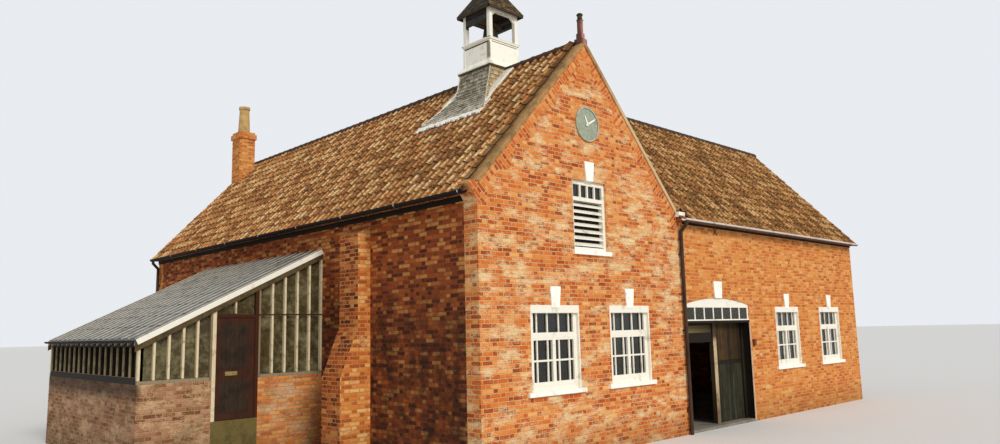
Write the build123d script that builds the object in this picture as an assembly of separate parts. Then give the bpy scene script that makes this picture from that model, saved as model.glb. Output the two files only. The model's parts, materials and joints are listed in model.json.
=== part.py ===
from build123d import *
import os
from math import atan, cos, radians, sin, tan

# Coach house: an L of two brick ranges with a bell turret, a clock gable and a glasshouse.
# Millimetres. X runs along the front, Y into the depth, Z up. The origin is at ground level
# where the line of the main ridge crosses the centre line of the front wall.

# Walls and storeys
wall = 340.0
span = 5850.0
main_length = 14300.0
wing_length = 9400.0
wall_height = 4550.0
floor_top = 60.0
loft_top = 3400.0
loft_thickness = 180.0

# Roof
roof_pitch = 47.0
roof_depth = 150.0
eaves_overhang = 150.0
verge_overhang = 60.0
ridge_radius = 120.0
ridge_sink = 50.0
coping_rise = 40.0
coping_nose = 25.0
coping_thickness = 75.0

# Feet of the front gable: a brick kneeler on the left, a stone on the right
kneeler_reach = 173.0
kneeler_foot = -110.0
kneeler_bed = 150.0
kneeler_top = 200.0
kneeler_stone_length = 238.0
kneeler_stone_depth = 90.0
kneeler_stone_height = 113.0

# Windows
window_width = 1275.0
window_height = 1440.0
window_sill_z = 1214.0
window_offset = 1097.0
wing_window_gap = 1991.0
wing_window_margin = 1876.0
side_window_gap = 2100.0
frame_reveal = 50.0
frame_depth = 100.0
frame_border = 75.0
transom_height = 97.0
transom_z = 2123.0
stile_width = 80.0
glass_thickness = 8.0
sill_thickness = 80.0
sill_horn = 110.0
sill_nose = 50.0
bar_depth = 45.0

# Keystones
key_height = 380.0
key_foot = 200.0
key_head = 290.0
key_nose = 25.0
key_bed = 100.0
door_key_foot = 300.0
door_key_head = 365.0

# Louvred vent in a gable, with its height above the loft floor
louvre_width = 1000.0
louvre_rise = 330.0
louvre_height = 1352.0
louvre_light_height = 330.0
louvre_border = 70.0
slat_count = 7
slat_thickness = 18.0
slat_angle = 35.0

# Coach doorway
door_gap = 160.0
door_width = 2790.0
door_clear = 2355.0
door_transom = 45.0
arch_spring = 2742.0
arch_rise = 146.0
light_count = 7
light_head = 2706.0
light_border = 60.0
light_bar = 40.0
light_reveal = 20.0
light_depth = 100.0
post_width = 100.0
post_depth = 100.0
post_setback = 190.0
centre_post_offset = 1395.0
centre_post_width = 140.0
head_board_z = 1894.0
head_board_thickness = 40.0
leaf_thickness = 55.0
leaf_setback = 40.0
leaf_gap = 5.0
leaf_rail = 120.0
leaf_board = 30.0
leaf_mid_rail_z = 1400.0
leaf_low_rail_z = 900.0
leaf_floor_gap = 10.0

# Strap hinges and their pintles
strap_length = 620.0
strap_height = 50.0
strap_thickness = 8.0
pin_radius = 8.0
pin_clearance = 0.3
eye_wall = 9.0
hinge_inset = 12.0
hinge_share = 0.14
hinge_standoff = 22.0
bracket_length = 30.0
bracket_height = 22.0

# Bell turret, with its base above the ridge line and the profile of its slated skirt
turret_shift = 250.0
turret_rise = 33.0
turret_half = 432.0
stage_height = 655.0
lantern_height = 693.0
turret_eaves_half = 526.0
turret_roof_height = 820.0
turret_roof_hollow = 70.0
turret_roof_tip = 25.0
post_size = 90.0
panel_thickness = 30.0
rail_height = 70.0
rail_nose = 25.0
brace_size = 120.0
brace_thickness = 40.0
brace_setback = 25.0
ledge_half = 480.0
ledge_height = 60.0
deck_thickness = 40.0
skirt_drops = (0.0, 200.0, 402.0, 607.0, 867.0, 1072.0, 1225.0)
skirt_flare_x = (20.0, 60.0, 113.0, 193.0, 383.0, 578.0, 718.0, 808.0, 808.0)
skirt_flare_y = (20.0, 22.0, 24.0, 83.0, 248.0, 411.0, 497.0, 518.0, 518.0)
skirt_edge = 25.0
apron_side = 120.0
apron_front = (363.0, 361.0, 360.0, 300.0, 170.0, 60.0, 50.0, 60.0, 60.0)
apron_rise = 60.0

# Bell
bell_axis_drop = 168.0
bell_mouth = 195.0
bell_height = 340.0
bell_drop = 430.0
bell_skin = 16.0
bell_lip = 70.0
bell_waist = 190.0
bell_shoulder = 30.0
crown_width = 44.0
crown_depth = 60.0
headstock_size = 90.0
headstock_clearance = 12.0
gudgeon_radius = 12.0
gudgeon_length = 60.0
bearer_height = 110.0

# Clock
clock_drop = 1691.0
clock_radius = 347.0
clock_thickness = 30.0
hand_gap = 6.0
hand_thickness = 6.0
hour_hand_length = 190.0
minute_hand_length = 290.0
arbor_radius = 10.0
hour_angle = 335.0
minute_angle = 60.0

# Chimney on the rear gable
stack_x0 = -753.0
stack_width = 512.0
stack_depth = 552.0
stack_seat_rise = 1750.0
stack_rise = 943.0
stack_cap = 40.0
stack_band = (230.0, 75.0)
pot_height = 875.0
pot_radius = 165.0
pot_bore = 110.0

# Buttress on the left wall
buttress_y = 2938.0
buttress_width = 650.0
buttress_foot = 658.0
buttress_head = 278.0
buttress_slope_z = (1463.0, 2413.0)
buttress_margin = 220.0
buttress_weathering = 160.0

# Glasshouse against the left wall
house_y0 = 4708.0
house_length = 5722.0
house_width = 3612.0
house_margin = 490.0
house_eaves_z = 2290.0
house_wall = 230.0
house_wall_z = 1480.0
house_side_wall_z = 1550.0
house_floor_z = 731.0
house_frame = 70.0
house_bar = 40.0
house_rail = 60.0
house_bay = 282.0
house_side_bay = 350.0
rafter_width = 45.0
rafter_depth = 80.0
roof_glass = 8.0
barge_depth = 200.0
barge_thickness = 25.0
house_door_gap = 1462.0
house_door_width = 767.0
house_door_head = 2633.0
house_rail_share = 0.42
house_post = 70.0
house_strap_length = 310.0
house_gutter_width = 90.0
house_plate = 60.0
house_overhang = 60.0

# Rainwater goods
gutter_width = 130.0
gutter_rise = 40.0
gutter_wall = 8.0
gutter_setback = 70.0
gutter_facets = 6
pipe_radius = 40.0
pipe_standoff = 25.0
pipe_gap = 75.0
outlet_length = 60.0
clip_width = 110.0
clip_height = 40.0

# Finial on the front gable
finial_base = 180.0
finial_base_height = 240.0
finial_step = 60.0
finial_radius = 60.0
finial_height = 310.0
finial_shift = 70.0

# Levels and lines worked out from the sizes above
half = span / 2
front = -wall / 2
inside = wall / 2
rear = front + main_length
wing_y = front + half
wing_rear = front + span
wing_end = half + wing_length
reach = half + eaves_overhang
slope = tan(radians(roof_pitch))
roof_drop = roof_depth / cos(radians(roof_pitch))
ridge_z = wall_height + half * slope + roof_drop
eaves_z = ridge_z - reach * slope
coping_z = ridge_z + coping_rise
parapet_z = coping_z - coping_thickness / cos(radians(roof_pitch))
kneeler_top_z = wall_height + kneeler_top
window_head_z = window_sill_z + window_height
sill_bottom_z = window_sill_z - sill_thickness
louvre_sill_z = loft_top + louvre_rise
louvre_head_z = louvre_sill_z + louvre_height
louvre_bottom_z = louvre_sill_z - sill_thickness
door_x0 = half + door_gap
door_x1 = door_x0 + door_width
door_middle = (door_x0 + door_x1) / 2
centre_post_x = door_x0 + centre_post_offset
turret_y = wing_y - turret_shift
turret_base_z = ridge_z + turret_rise
turret_rail_z = turret_base_z + stage_height
turret_eaves_z = turret_rail_z + lantern_height
bell_axis_z = turret_eaves_z - bell_axis_drop
clock_z = ridge_z - clock_drop
stack_seat_z = wall_height + stack_seat_rise
stack_top_z = ridge_z + stack_rise
buttress_top_z = wall_height - buttress_margin
house_top_z = wall_height - house_margin
house_x = -half - house_width
house_y1 = house_y0 + house_length
house_slope = (house_top_z - house_eaves_z) / house_width
house_lean = cos(atan(house_slope))
house_door_x1 = -half - house_door_gap
house_door_x0 = house_door_x1 - house_door_width
gutter_z = wall_height + gutter_rise
pipe_x = half + pipe_gap

# Places of the windows and vents: centre of the wall in X and Y, and the turn from facing -Y
wing_window_x = (door_x1 + wing_window_gap, wing_end - wing_window_margin)
gable_windows = [(x, 0, 0) for x in (-window_offset, window_offset)]
wing_windows = [(x, 0, 0) for x in wing_window_x]
wing_rear_windows = [(x, wing_rear + front, 180) for x in wing_window_x]
side_windows = [(half + front, y, 90) for y in (wing_rear + side_window_gap, rear - side_window_gap)]
rear_windows = [(x, rear + front, 180) for x in (-window_offset, window_offset)]
end_windows = [(wing_end + front, wing_y + y, 90) for y in (-window_offset, window_offset)]
front_vent = (0, 0, 0)
end_vent = (wing_end + front, wing_y, 90)


def block(x0, x1, y0, y1, z0, z1):
    """A box between two corners."""
    return Pos((x0 + x1) / 2, (y0 + y1) / 2, (z0 + z1) / 2) * Box(x1 - x0, y1 - y0, z1 - z0)


def across(points, y0, y1):
    """A prism whose outline lies in the XZ plane and which runs along Y."""
    outline = Polyline(*[(x, y0, z) for x, z in points], close=True)
    return extrude(make_face(outline), amount=y1 - y0, dir=(0, 1, 0))


def along(points, x0, x1):
    """A prism whose outline lies in the YZ plane and which runs along X."""
    outline = Polyline(*[(x0, y, z) for y, z in points], close=True)
    return extrude(make_face(outline), amount=x1 - x0, dir=(1, 0, 0))


def upright(points, z0, z1):
    """A prism whose outline lies in plan."""
    outline = Polyline(*[(x, y, z0) for x, y in points], close=True)
    return extrude(make_face(outline), amount=z1 - z0, dir=(0, 0, 1))


def cylinder_along(axis, centre, radius, length):
    """A cylinder about an axis, centred on a point."""
    turn = {"x": Rot(0, 90, 0), "y": Rot(90, 0, 0), "z": Rot(0, 0, 0)}[axis]
    return Pos(*centre) * turn * Cylinder(radius, length)


def save(name, *solids):
    """Write the solids of one piece to its own file."""
    shape = solids[0] if len(solids) == 1 else Compound(children=[s for s in solids])
    export_step(shape, f"parts/{name}.step")


def all_solids(shape):
    """The separate solids of a shape."""
    return [Solid(s.wrapped) for s in shape.solids()]


def gable_outline(centre):
    """The five corners of a gable wall under the roof."""
    return [
        (centre - half, 0),
        (centre + half, 0),
        (centre + half, wall_height),
        (centre, wall_height + half * slope),
        (centre - half, wall_height),
    ]


def parapet_outline():
    """The front gable wall, which stands above the roof and steps out in a kneeler on the left."""
    kneeler_x = -half - kneeler_reach
    return [
        (-half, 0),
        (half, 0),
        (half, parapet_z - half * slope),
        (0, parapet_z),
        ((kneeler_top_z - parapet_z) / slope, kneeler_top_z),
        (kneeler_x, kneeler_top_z),
        (kneeler_x, wall_height + kneeler_bed),
        (-half, wall_height + kneeler_foot),
    ]


def side_section(outer, inner):
    """The section of a wall that carries the eaves, with its top cut to the roof."""
    rise = abs(outer - inner) * slope
    return [(outer, 0), (inner, 0), (inner, wall_height + rise), (outer, wall_height)]


def key_outline(x, z, foot, head, height):
    """A tapered keystone, wider at its head."""
    return [(x - foot / 2, z), (x + foot / 2, z), (x + head / 2, z + height), (x - head / 2, z + height)]


def keystone(x, z, foot=key_foot, head=key_head, height=key_height):
    """One keystone, bedded in the front wall and standing a little proud of it."""
    return across(key_outline(x, z, foot, head, height), front - key_nose, front + key_bed)


def put(site, shape):
    """Move a shape made for the front wall to its place in another wall."""
    x, y, turn = site
    return Pos(x, y, 0) * Rot(0, 0, turn) * shape


def wall_hole(z0, z1, width):
    """A hole through a wall."""
    return block(-width / 2, width / 2, front - 1, inside + 1, z0, z1)


def pierce(solid, windows, vents=()):
    """Cut windows, vents and the beds of their keystones out of a wall."""
    for site in windows:
        solid -= put(site, wall_hole(sill_bottom_z, window_head_z, window_width))
        solid -= put(site, keystone(0, window_head_z))
    for site in vents:
        solid -= put(site, wall_hole(louvre_bottom_z, louvre_head_z, louvre_width))
        solid -= put(site, keystone(0, louvre_head_z))
    return solid


def window_parts():
    """Frame, glass and sill of one window, facing -Y in a wall centred on the origin."""
    y0 = front + frame_reveal
    y1 = y0 + frame_depth
    x0 = -window_width / 2
    x1 = window_width / 2
    z0 = window_sill_z
    z1 = window_head_z
    ring = block(x0, x1, y0, y1, z0, z1)
    ring -= block(x0 + frame_border, x1 - frame_border, y0 - 1, y1 + 1, z0 + frame_border, z1 - frame_border)
    transom_top = transom_z + transom_height
    transom = block(x0 + frame_border, x1 - frame_border, y0, y0 + bar_depth, transom_z, transom_top)
    stile = block(-stile_width / 2, stile_width / 2, y0, y0 + bar_depth, z0 + frame_border, transom_z)
    glass = block(
        x0 + frame_border, x1 - frame_border, y0 + bar_depth, y0 + bar_depth + glass_thickness,
        z0 + frame_border, z1 - frame_border,
    )
    sill = block(x0, x1, front, inside, sill_bottom_z, z0)
    sill += block(x0 - sill_horn, x1 + sill_horn, front - sill_nose, front, sill_bottom_z, z0)
    return ring + transom + stile, glass, sill


def louvre_parts():
    """Frame with slats, glass of the top light and sill of one vent, made like a window."""
    y0 = front + frame_reveal
    y1 = y0 + frame_depth
    x0 = -louvre_width / 2
    x1 = louvre_width / 2
    light_z = louvre_head_z - louvre_light_height
    frame = block(x0, x1, y0, y1, louvre_sill_z, louvre_head_z)
    clear_x0 = x0 + louvre_border
    clear_x1 = x1 - louvre_border
    slats_z0 = louvre_sill_z + louvre_border
    slats_z1 = light_z - louvre_border
    frame -= block(clear_x0, clear_x1, y0 - 1, y1 + 1, slats_z0, slats_z1)
    frame -= block(clear_x0, clear_x1, y0 - 1, y1 + 1, light_z, louvre_head_z - louvre_border)
    pitch = (slats_z1 - slats_z0) / slat_count
    turn = radians(slat_angle)
    for index in range(slat_count):
        z = slats_z0 + (index + 0.5) * pitch
        run = (frame_depth - slat_thickness * sin(turn)) / 2
        rise = run * tan(turn)
        drop = slat_thickness / cos(turn) / 2
        y_mid = (y0 + y1) / 2
        section = [
            (y_mid - run, z - rise - drop),
            (y_mid + run, z + rise - drop),
            (y_mid + run, z + rise + drop),
            (y_mid - run, z - rise + drop),
        ]
        frame += along(section, clear_x0, clear_x1)
    glass_y = y0 + bar_depth
    glass_top = louvre_head_z - louvre_border
    glass = block(clear_x0, clear_x1, glass_y, glass_y + glass_thickness, light_z, glass_top)
    sill = block(x0, x1, front, inside, louvre_bottom_z, louvre_sill_z)
    horn = sill_horn / 2
    sill += block(x0 - horn, x1 + horn, front - sill_nose, front, louvre_bottom_z, louvre_sill_z)
    return frame, glass, sill


def hinge_levels(z0, z1):
    """Heights of the two straps of a leaf."""
    inset = hinge_share * (z1 - z0)
    return z0 + inset, z1 - inset


def strap(axis_x, axis_y, side, z, length):
    """A strap with its eye. side is +1 where the leaf runs to +X from the axis."""
    eye = pin_radius + pin_clearance + eye_wall
    face = axis_y - hinge_standoff
    far = axis_x + side * length
    near = axis_x + side * eye
    plate = block(min(axis_x, far), max(axis_x, far), face, face + strap_thickness, z, z + strap_height)
    plate += block(min(axis_x, near), max(axis_x, near), face, axis_y, z, z + strap_height)
    plate += Pos(axis_x, axis_y, z + strap_height / 2) * Cylinder(eye, strap_height)
    bore = Cylinder(pin_radius + pin_clearance, 2 * strap_height)
    return plate - Pos(axis_x, axis_y, z + strap_height / 2) * bore


def pintle(axis_x, axis_y, side, z):
    """The pin under one strap's eye and the bracket that holds it to the post."""
    eye = pin_radius + pin_clearance + eye_wall
    face = axis_y - hinge_standoff
    post_edge = axis_x - side * hinge_inset
    back = axis_x - side * (hinge_inset + bracket_length)
    tip = axis_x + side * pin_radius
    top = z - pin_clearance
    low = top - bracket_height
    x0, x1 = sorted((back, post_edge))
    bracket = block(x0, x1, face, axis_y + pin_radius, low, top)
    x0, x1 = sorted((post_edge, tip))
    bracket += block(x0, x1, axis_y - pin_radius, axis_y + pin_radius, low, top)
    pin = Cylinder(pin_radius, strap_height + 2 * bracket_height)
    pin = Pos(axis_x, axis_y, top + strap_height / 2) * pin
    return bracket + pin


def boarded_leaf(x0, x1, y0, z0, z1, rails):
    """A framed leaf: boards on the outside, stiles and rails behind them."""
    leaf = block(x0, x1, y0, y0 + leaf_thickness, z0, z1)
    levels = [z0] + list(rails) + [z1 - leaf_rail]
    for low, high in zip(levels[:-1], levels[1:]):
        leaf -= block(
            x0 + leaf_rail, x1 - leaf_rail, y0 + leaf_board, y0 + leaf_thickness + 1, low + leaf_rail, high,
        )
    return leaf


def make_walls():
    """The brick walls of both ranges."""
    gable = across(parapet_outline(), front, inside)
    gable += along(side_section(front, inside), half, door_x0)
    save("front_gable_wall", pierce(gable, gable_windows, [front_vent]))

    panel = along(side_section(front, inside), door_x0, door_x1)
    panel -= block(door_x0 - 1, door_x1 + 1, front - 1, inside + 1, -1, arch_spring)
    panel -= arch_cut()
    panel -= door_keystone()
    save("coach_door_arch", panel)

    wing_front = along(side_section(front, inside), door_x1, wing_end - wall)
    save("wing_front_wall", pierce(wing_front, wing_windows))
    end = along([(y + wing_y, z) for y, z in gable_outline(0)], wing_end - wall, wing_end)
    save("wing_end_wall", pierce(end, end_windows, [end_vent]))
    wing_back = along(side_section(wing_rear, wing_rear - wall), half, wing_end - wall)
    save("wing_rear_wall", pierce(wing_back, wing_rear_windows))

    save("left_side_wall", across(side_section(-half, -half + wall), inside, rear - wall))
    right = across(side_section(half, half - wall), wing_rear - wall, rear - wall)
    save("right_side_wall", pierce(right, side_windows))
    back = across(gable_outline(0), rear - wall, rear)
    back -= block(stack_x0, stack_x0 + stack_width, rear - wall - 1, rear + 1, stack_seat_z, ridge_z)
    save("rear_gable_wall", pierce(back, rear_windows))


def arch_face(y):
    """The segment between the springing line and the curve of the coach doorway's head."""
    crown = arch_spring + arch_rise
    curve = ThreePointArc((door_x0, y, arch_spring), (door_middle, y, crown), (door_x1, y, arch_spring))
    chord = Line((door_x1, y, arch_spring), (door_x0, y, arch_spring))
    return make_face(curve + chord)


def arch_cut():
    """The segmental head, cut through the wall."""
    return extrude(arch_face(front - 1), amount=wall + 2, dir=(0, 1, 0))


def door_keystone():
    """The keystone over the coach doorway."""
    return keystone(door_middle, arch_spring + arch_rise, door_key_foot, door_key_head)


def make_roofs():
    """Roof slopes cut to one another along the valleys, ridge tiles, coping and finial."""
    back = rear + verge_overhang
    end = wing_end + verge_overhang
    left_section = [
        (-reach, eaves_z), (0, ridge_z), (0, ridge_z - roof_drop),
        (-half, wall_height), (-reach, wall_height),
    ]
    right_section = [(-x, z) for x, z in left_section]
    stack = block(stack_x0, stack_x0 + stack_width, rear - stack_depth, rear, 0, stack_top_z)
    stone = block(
        half, half + kneeler_stone_length, front - kneeler_stone_depth, front,
        kneeler_top_z - kneeler_stone_height, kneeler_top_z,
    )
    save("kneeler_stone", stone)

    save("main_roof_left", across(left_section, inside, back) - stack)
    full_right = across(right_section, inside, back)
    top = ridge_z + 1
    corner = full_right & upright([(0, inside), (wing_y - inside, inside), (0, wing_y)], 0, top)
    save("main_roof_front_corner", corner)
    rear_plan = [(0, wing_y), (reach, wing_y + reach), (reach, back), (0, back)]
    save("main_roof_right", full_right & upright(rear_plan, 0, top))

    front_section = [(wing_y + x, z) for x, z in left_section]
    rear_section = [(wing_y + x, z) for x, z in right_section]
    front_plan = [
        (half, wing_y - reach), (end, wing_y - reach), (end, wing_y),
        (0, wing_y), (wing_y - inside, inside), (half, inside),
    ]
    save("wing_roof_front", (along(front_section, 0, end) & upright(front_plan, 0, top)) - stone)
    back_plan = [(0, wing_y), (end, wing_y), (end, wing_y + reach), (reach, wing_y + reach)]
    save("wing_roof_rear", along(rear_section, 0, end) & upright(back_plan, 0, top))

    main_solid = across([(-reach, eaves_z), (0, ridge_z), (reach, eaves_z)], front, back)
    wing_solid = along([(wing_y - reach, eaves_z), (wing_y, ridge_z), (wing_y + reach, eaves_z)], 0, end)
    ledge_column = block(
        -ledge_half, ledge_half, turret_y - ledge_half, turret_y + ledge_half, wall_height, turret_rail_z,
    )
    cover = make_apron_blank() + ledge_column
    ridge_centre = ridge_z - ridge_sink
    main_ridge = cylinder_along("y", (0, (inside + back) / 2, ridge_centre), ridge_radius, back - inside)
    main_ridge = main_ridge - main_solid - wing_solid - cover - stack
    wing_ridge = cylinder_along("x", (end / 2, wing_y, ridge_centre), ridge_radius, end)
    wing_ridge = wing_ridge - wing_solid - main_solid - cover
    save("ridge_tiles", *all_solids(main_ridge), *all_solids(wing_ridge))

    coping = across(
        [
            ((kneeler_top_z - coping_z) / slope, kneeler_top_z), (0, coping_z),
            (half, coping_z - half * slope), (half, parapet_z - half * slope),
            (0, parapet_z), ((kneeler_top_z - parapet_z) / slope, kneeler_top_z),
        ],
        front - coping_nose, inside,
    )
    seat = finial_base / 2
    seat_z = coping_z - seat * slope
    centre_y = front + finial_shift
    coping -= block(-seat, seat, front - coping_nose - 1, inside + 1, seat_z, coping_z + 1)
    save("gable_coping", coping)
    pedestal = block(-seat, seat, centre_y - seat, centre_y + seat, seat_z, seat_z + finial_base_height / 2)
    drum_z = seat_z + finial_base_height
    neck = seat - finial_step / 2
    pedestal += block(-neck, neck, centre_y - neck, centre_y + neck, seat_z, drum_z)
    top_z = drum_z + finial_height
    drum = turned(
        [
            (0, seat_z), (finial_radius, seat_z), (finial_radius, top_z - 2 * coping_nose),
            (finial_radius + coping_nose / 2, top_z - coping_nose), (0, top_z),
        ]
    )
    save("gable_finial", pedestal + Pos(0, centre_y, 0) * drum)
    return main_solid, wing_solid


def turned(points):
    """A solid turned about the Z axis from a half profile of radius and height."""
    profile = make_face(Polyline(*[(r, 0, z) for r, z in points], close=True))
    return revolve(profile, Axis.Z)


def flared(half_foot, foot_z, half_head, head_z, bulge, direction):
    """A symmetrical profile with hollow sides, run along one axis across the turret."""
    length = 3 * half_foot
    hollow = ((half_foot + half_head) / 2 - bulge, (foot_z + head_z) / 2 - bulge / 2)

    def at(u, z):
        return (u, turret_y - length, z) if direction == "y" else (-length, turret_y + u, z)

    right = ThreePointArc(at(half_foot, foot_z), at(*hollow), at(half_head, head_z))
    left = ThreePointArc(at(-half_head, head_z), at(-hollow[0], hollow[1]), at(-half_foot, foot_z))
    lines = Line(at(half_head, head_z), at(-half_head, head_z))
    lines += Line(at(-half_foot, foot_z), at(half_foot, foot_z))
    face = make_face(right + left + lines)
    way = (0, 1, 0) if direction == "y" else (1, 0, 0)
    return extrude(face, amount=2 * length, dir=way)


def skirt_shape(extra_x, extra_y, last_drop):
    """The flared block under the turret. The extras widen it, and its foot is at the last drop."""
    drops = (*skirt_drops, last_drop - skirt_edge, last_drop)
    flares = [(turret_half + f + e, turret_base_z - d) for f, e, d in zip(skirt_flare_x, extra_x, drops)]
    fronts = [(turret_half + f + e, turret_base_z - d) for f, e, d in zip(skirt_flare_y, extra_y, drops)]
    length = 2 * flares[-1][0]
    side_view = flares + [(-x, z) for x, z in reversed(flares)]
    end_view = [(turret_y + y, z) for y, z in fronts] + [(turret_y - y, z) for y, z in reversed(fronts)]
    shape = across(side_view, turret_y - length, turret_y + length)
    return shape & along(end_view, -length, length)


def foot_drop(width):
    """How far below the turret's base the roof lies at a distance from the ridge line."""
    return turret_rise + width * slope


def make_skirt_blank():
    """The flared slated base of the turret, before the roof is cut from it."""
    nothing = (0.0,) * len(skirt_flare_x)
    return skirt_shape(nothing, nothing, foot_drop(turret_half + skirt_flare_x[-1]))


def make_apron_blank():
    """The same block, widened by the flashing round its foot."""
    sides = (apron_side,) * len(skirt_flare_x)
    return skirt_shape(sides, apron_front, foot_drop(turret_half + skirt_flare_x[-1] + apron_side))


def make_turret(main_solid, wing_solid):
    """Skirt with its flashing, boarded stage, open lantern and roof of the bell turret."""
    roof_solid = main_solid + wing_solid
    skirt_blank = make_skirt_blank()
    save("turret_skirt", skirt_blank - roof_solid)
    raised = Pos(0, 0, apron_rise) * main_solid + Pos(0, 0, apron_rise) * wing_solid
    apron = (make_apron_blank() & raised) - roof_solid - skirt_blank
    save("turret_apron", *all_solids(apron))

    h = turret_half
    y0 = turret_y - h
    y1 = turret_y + h
    z0 = turret_base_z
    ledge_z = z0 + ledge_height
    ledge = block(-ledge_half, ledge_half, turret_y - ledge_half, turret_y + ledge_half, z0, ledge_z)
    inner = h - panel_thickness
    clear = inner - panel_thickness
    rail_foot = turret_rail_z - rail_height
    stage = block(-inner, inner, turret_y - inner, turret_y + inner, ledge_z, rail_foot)
    stage -= block(-clear, clear, turret_y - clear, turret_y + clear, ledge_z - 1, rail_foot + 1)
    middle = h - post_size / 2
    posts = []
    for x in (-middle, middle):
        for y in (turret_y - middle, turret_y + middle):
            side = post_size / 2
            posts.append(block(x - side, x + side, y - side, y + side, ledge_z, turret_eaves_z))
    for post in posts:
        stage -= post
    save("turret_stage", ledge + stage)

    frame = posts[0] + posts[1] + posts[2] + posts[3]
    head_foot = turret_eaves_z - rail_height
    gap = h - post_size
    for z, nose in ((rail_foot, rail_nose), (head_foot, 0.0)):
        out = h + nose
        ring = block(-h, h, y0, y1, z, z + rail_height)
        ring += block(-out, out, turret_y - out, turret_y + out, z + rail_height / 2, z + rail_height)
        ring -= block(-gap, gap, turret_y - gap, turret_y + gap, z - 1, z + rail_height + 1)
        frame += ring
    for side in (-1, 1):
        inner_edge = side * gap
        tip = side * (gap - brace_size)
        outline = [(inner_edge, head_foot - brace_size), (inner_edge, head_foot), (tip, head_foot)]
        for start in (y0 + brace_setback, y1 - brace_setback - brace_thickness):
            frame += across(outline, start, start + brace_thickness)
        side_outline = [(turret_y + y, z) for y, z in outline]
        for start in (-h + brace_setback, h - brace_setback - brace_thickness):
            frame += along(side_outline, start, start + brace_thickness)
    save("turret_posts", frame + bell_bearers())

    deck = block(-clear, clear, turret_y - clear, turret_y + clear, rail_foot - deck_thickness, rail_foot)
    for post in posts:
        deck -= post
    save("turret_deck", deck)
    e = turret_eaves_half
    cap_z = turret_eaves_z + turret_roof_height
    roof = flared(e, turret_eaves_z, turret_roof_tip, cap_z, turret_roof_hollow, "y")
    roof &= flared(e, turret_eaves_z, turret_roof_tip, cap_z, turret_roof_hollow, "x")
    cap = Pos(0, turret_y, cap_z) * turned([(0, 0), (30, 0), (55, 60), (55, 90), (0, 130)])
    save("turret_roof", roof + cap)


def bell_bearers():
    """Two bearers between the lantern's posts, bored for the bell's gudgeons."""
    low = bell_axis_z - 0.6 * bearer_height
    gap = turret_half - post_size
    side = post_size / 2
    bearers = []
    for middle in (side - turret_half, turret_half - side):
        bearer = block(middle - side, middle + side, turret_y - gap, turret_y + gap, low, low + bearer_height)
        bore = (middle, turret_y, bell_axis_z)
        bearer -= cylinder_along("x", bore, gudgeon_radius + pin_clearance, 3 * post_size)
        bearers.append(bearer)
    return bearers[0] + bearers[1]


def make_bell():
    """The bell under its headstock, with gudgeons that turn in the bearers."""
    beam = headstock_size / 2
    clear = turret_half - post_size
    stock_half = clear - headstock_clearance
    low = bell_axis_z - beam
    stock = block(-stock_half, stock_half, turret_y - beam, turret_y + beam, low, bell_axis_z + beam)
    for side in (-1, 1):
        centre = side * (stock_half + gudgeon_length / 3)
        stock += cylinder_along("x", (centre, turret_y, bell_axis_z), gudgeon_radius, gudgeon_length)
    save("bell_headstock", stock)
    mouth_z = bell_axis_z - bell_drop
    top_z = mouth_z + bell_height
    shoulder_z = top_z - bell_shoulder
    steps = [(1.0, mouth_z), (0.78, mouth_z + bell_lip), (0.62, mouth_z + bell_waist), (0.5, shoulder_z)]
    outer = [(share * bell_mouth, z) for share, z in steps] + [(0, top_z)]
    inner = [(share * bell_mouth - bell_skin, z) for share, z in steps[:3]]
    inner += [(0.5 * bell_mouth - bell_skin, shoulder_z - bell_skin), (0, top_z - 2 * bell_skin)]
    body = turned(outer + inner[::-1])
    crown = block(-crown_width / 2, crown_width / 2, -crown_depth / 2, crown_depth / 2, shoulder_z, low)
    save("bell", Pos(0, turret_y, 0) * (body + crown))


def make_clock():
    """Dial, arbor and hands on the front gable."""
    dial = cylinder_along("y", (0, front - clock_thickness / 2, clock_z), clock_radius, clock_thickness)
    dish = cylinder_along("y", (0, front - clock_thickness, clock_z), clock_radius - 30, clock_thickness)
    dial -= dish
    face_y = front - clock_thickness / 2
    stem = 2 * (hand_gap + hand_thickness) + 8
    arbor = cylinder_along("y", (0, face_y - stem / 2, clock_z), arbor_radius, stem)
    save("clock_dial", dial + arbor)
    for name, length, tail, level, angle in (
        ("hour_hand", hour_hand_length, 45, 0, hour_angle),
        ("minute_hand", minute_hand_length, 70, 1, minute_angle),
    ):
        y1 = face_y - hand_gap - level * (hand_gap + hand_thickness)
        y0 = y1 - hand_thickness
        blade = across(
            [
                (-14, -tail), (14, -tail), (22, 0), (15, length * 0.72),
                (0, length), (-15, length * 0.72), (-22, 0),
            ],
            y0, y1,
        )
        blade += cylinder_along("y", (0, (y0 + y1) / 2, 0), 26, hand_thickness)
        blade -= cylinder_along("y", (0, (y0 + y1) / 2, 0), arbor_radius + pin_clearance, 4 * hand_thickness)
        save(name, Pos(0, 0, clock_z) * Rot(0, angle, 0) * blade)


def make_windows():
    """Frames, glass, sills and keystones of all windows and vents."""
    windows = gable_windows + wing_windows + wing_rear_windows + side_windows + rear_windows + end_windows
    vents = [front_vent, end_vent]
    frame, glass, sill = window_parts()
    slats, light, vent_sill = louvre_parts()
    save("window_frames", *[put(site, frame) for site in windows])
    save("louvre_vent", *[put(site, slats) for site in vents])
    save("window_glass", *[put(site, glass) for site in windows], *[put(site, light) for site in vents])
    save("window_sills", *[put(site, sill) for site in windows], *[put(site, vent_sill) for site in vents])
    keys = [put(site, keystone(0, window_head_z)) for site in windows]
    keys += [put(site, keystone(0, louvre_head_z)) for site in vents]
    save("keystones", *keys, door_keystone())


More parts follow.
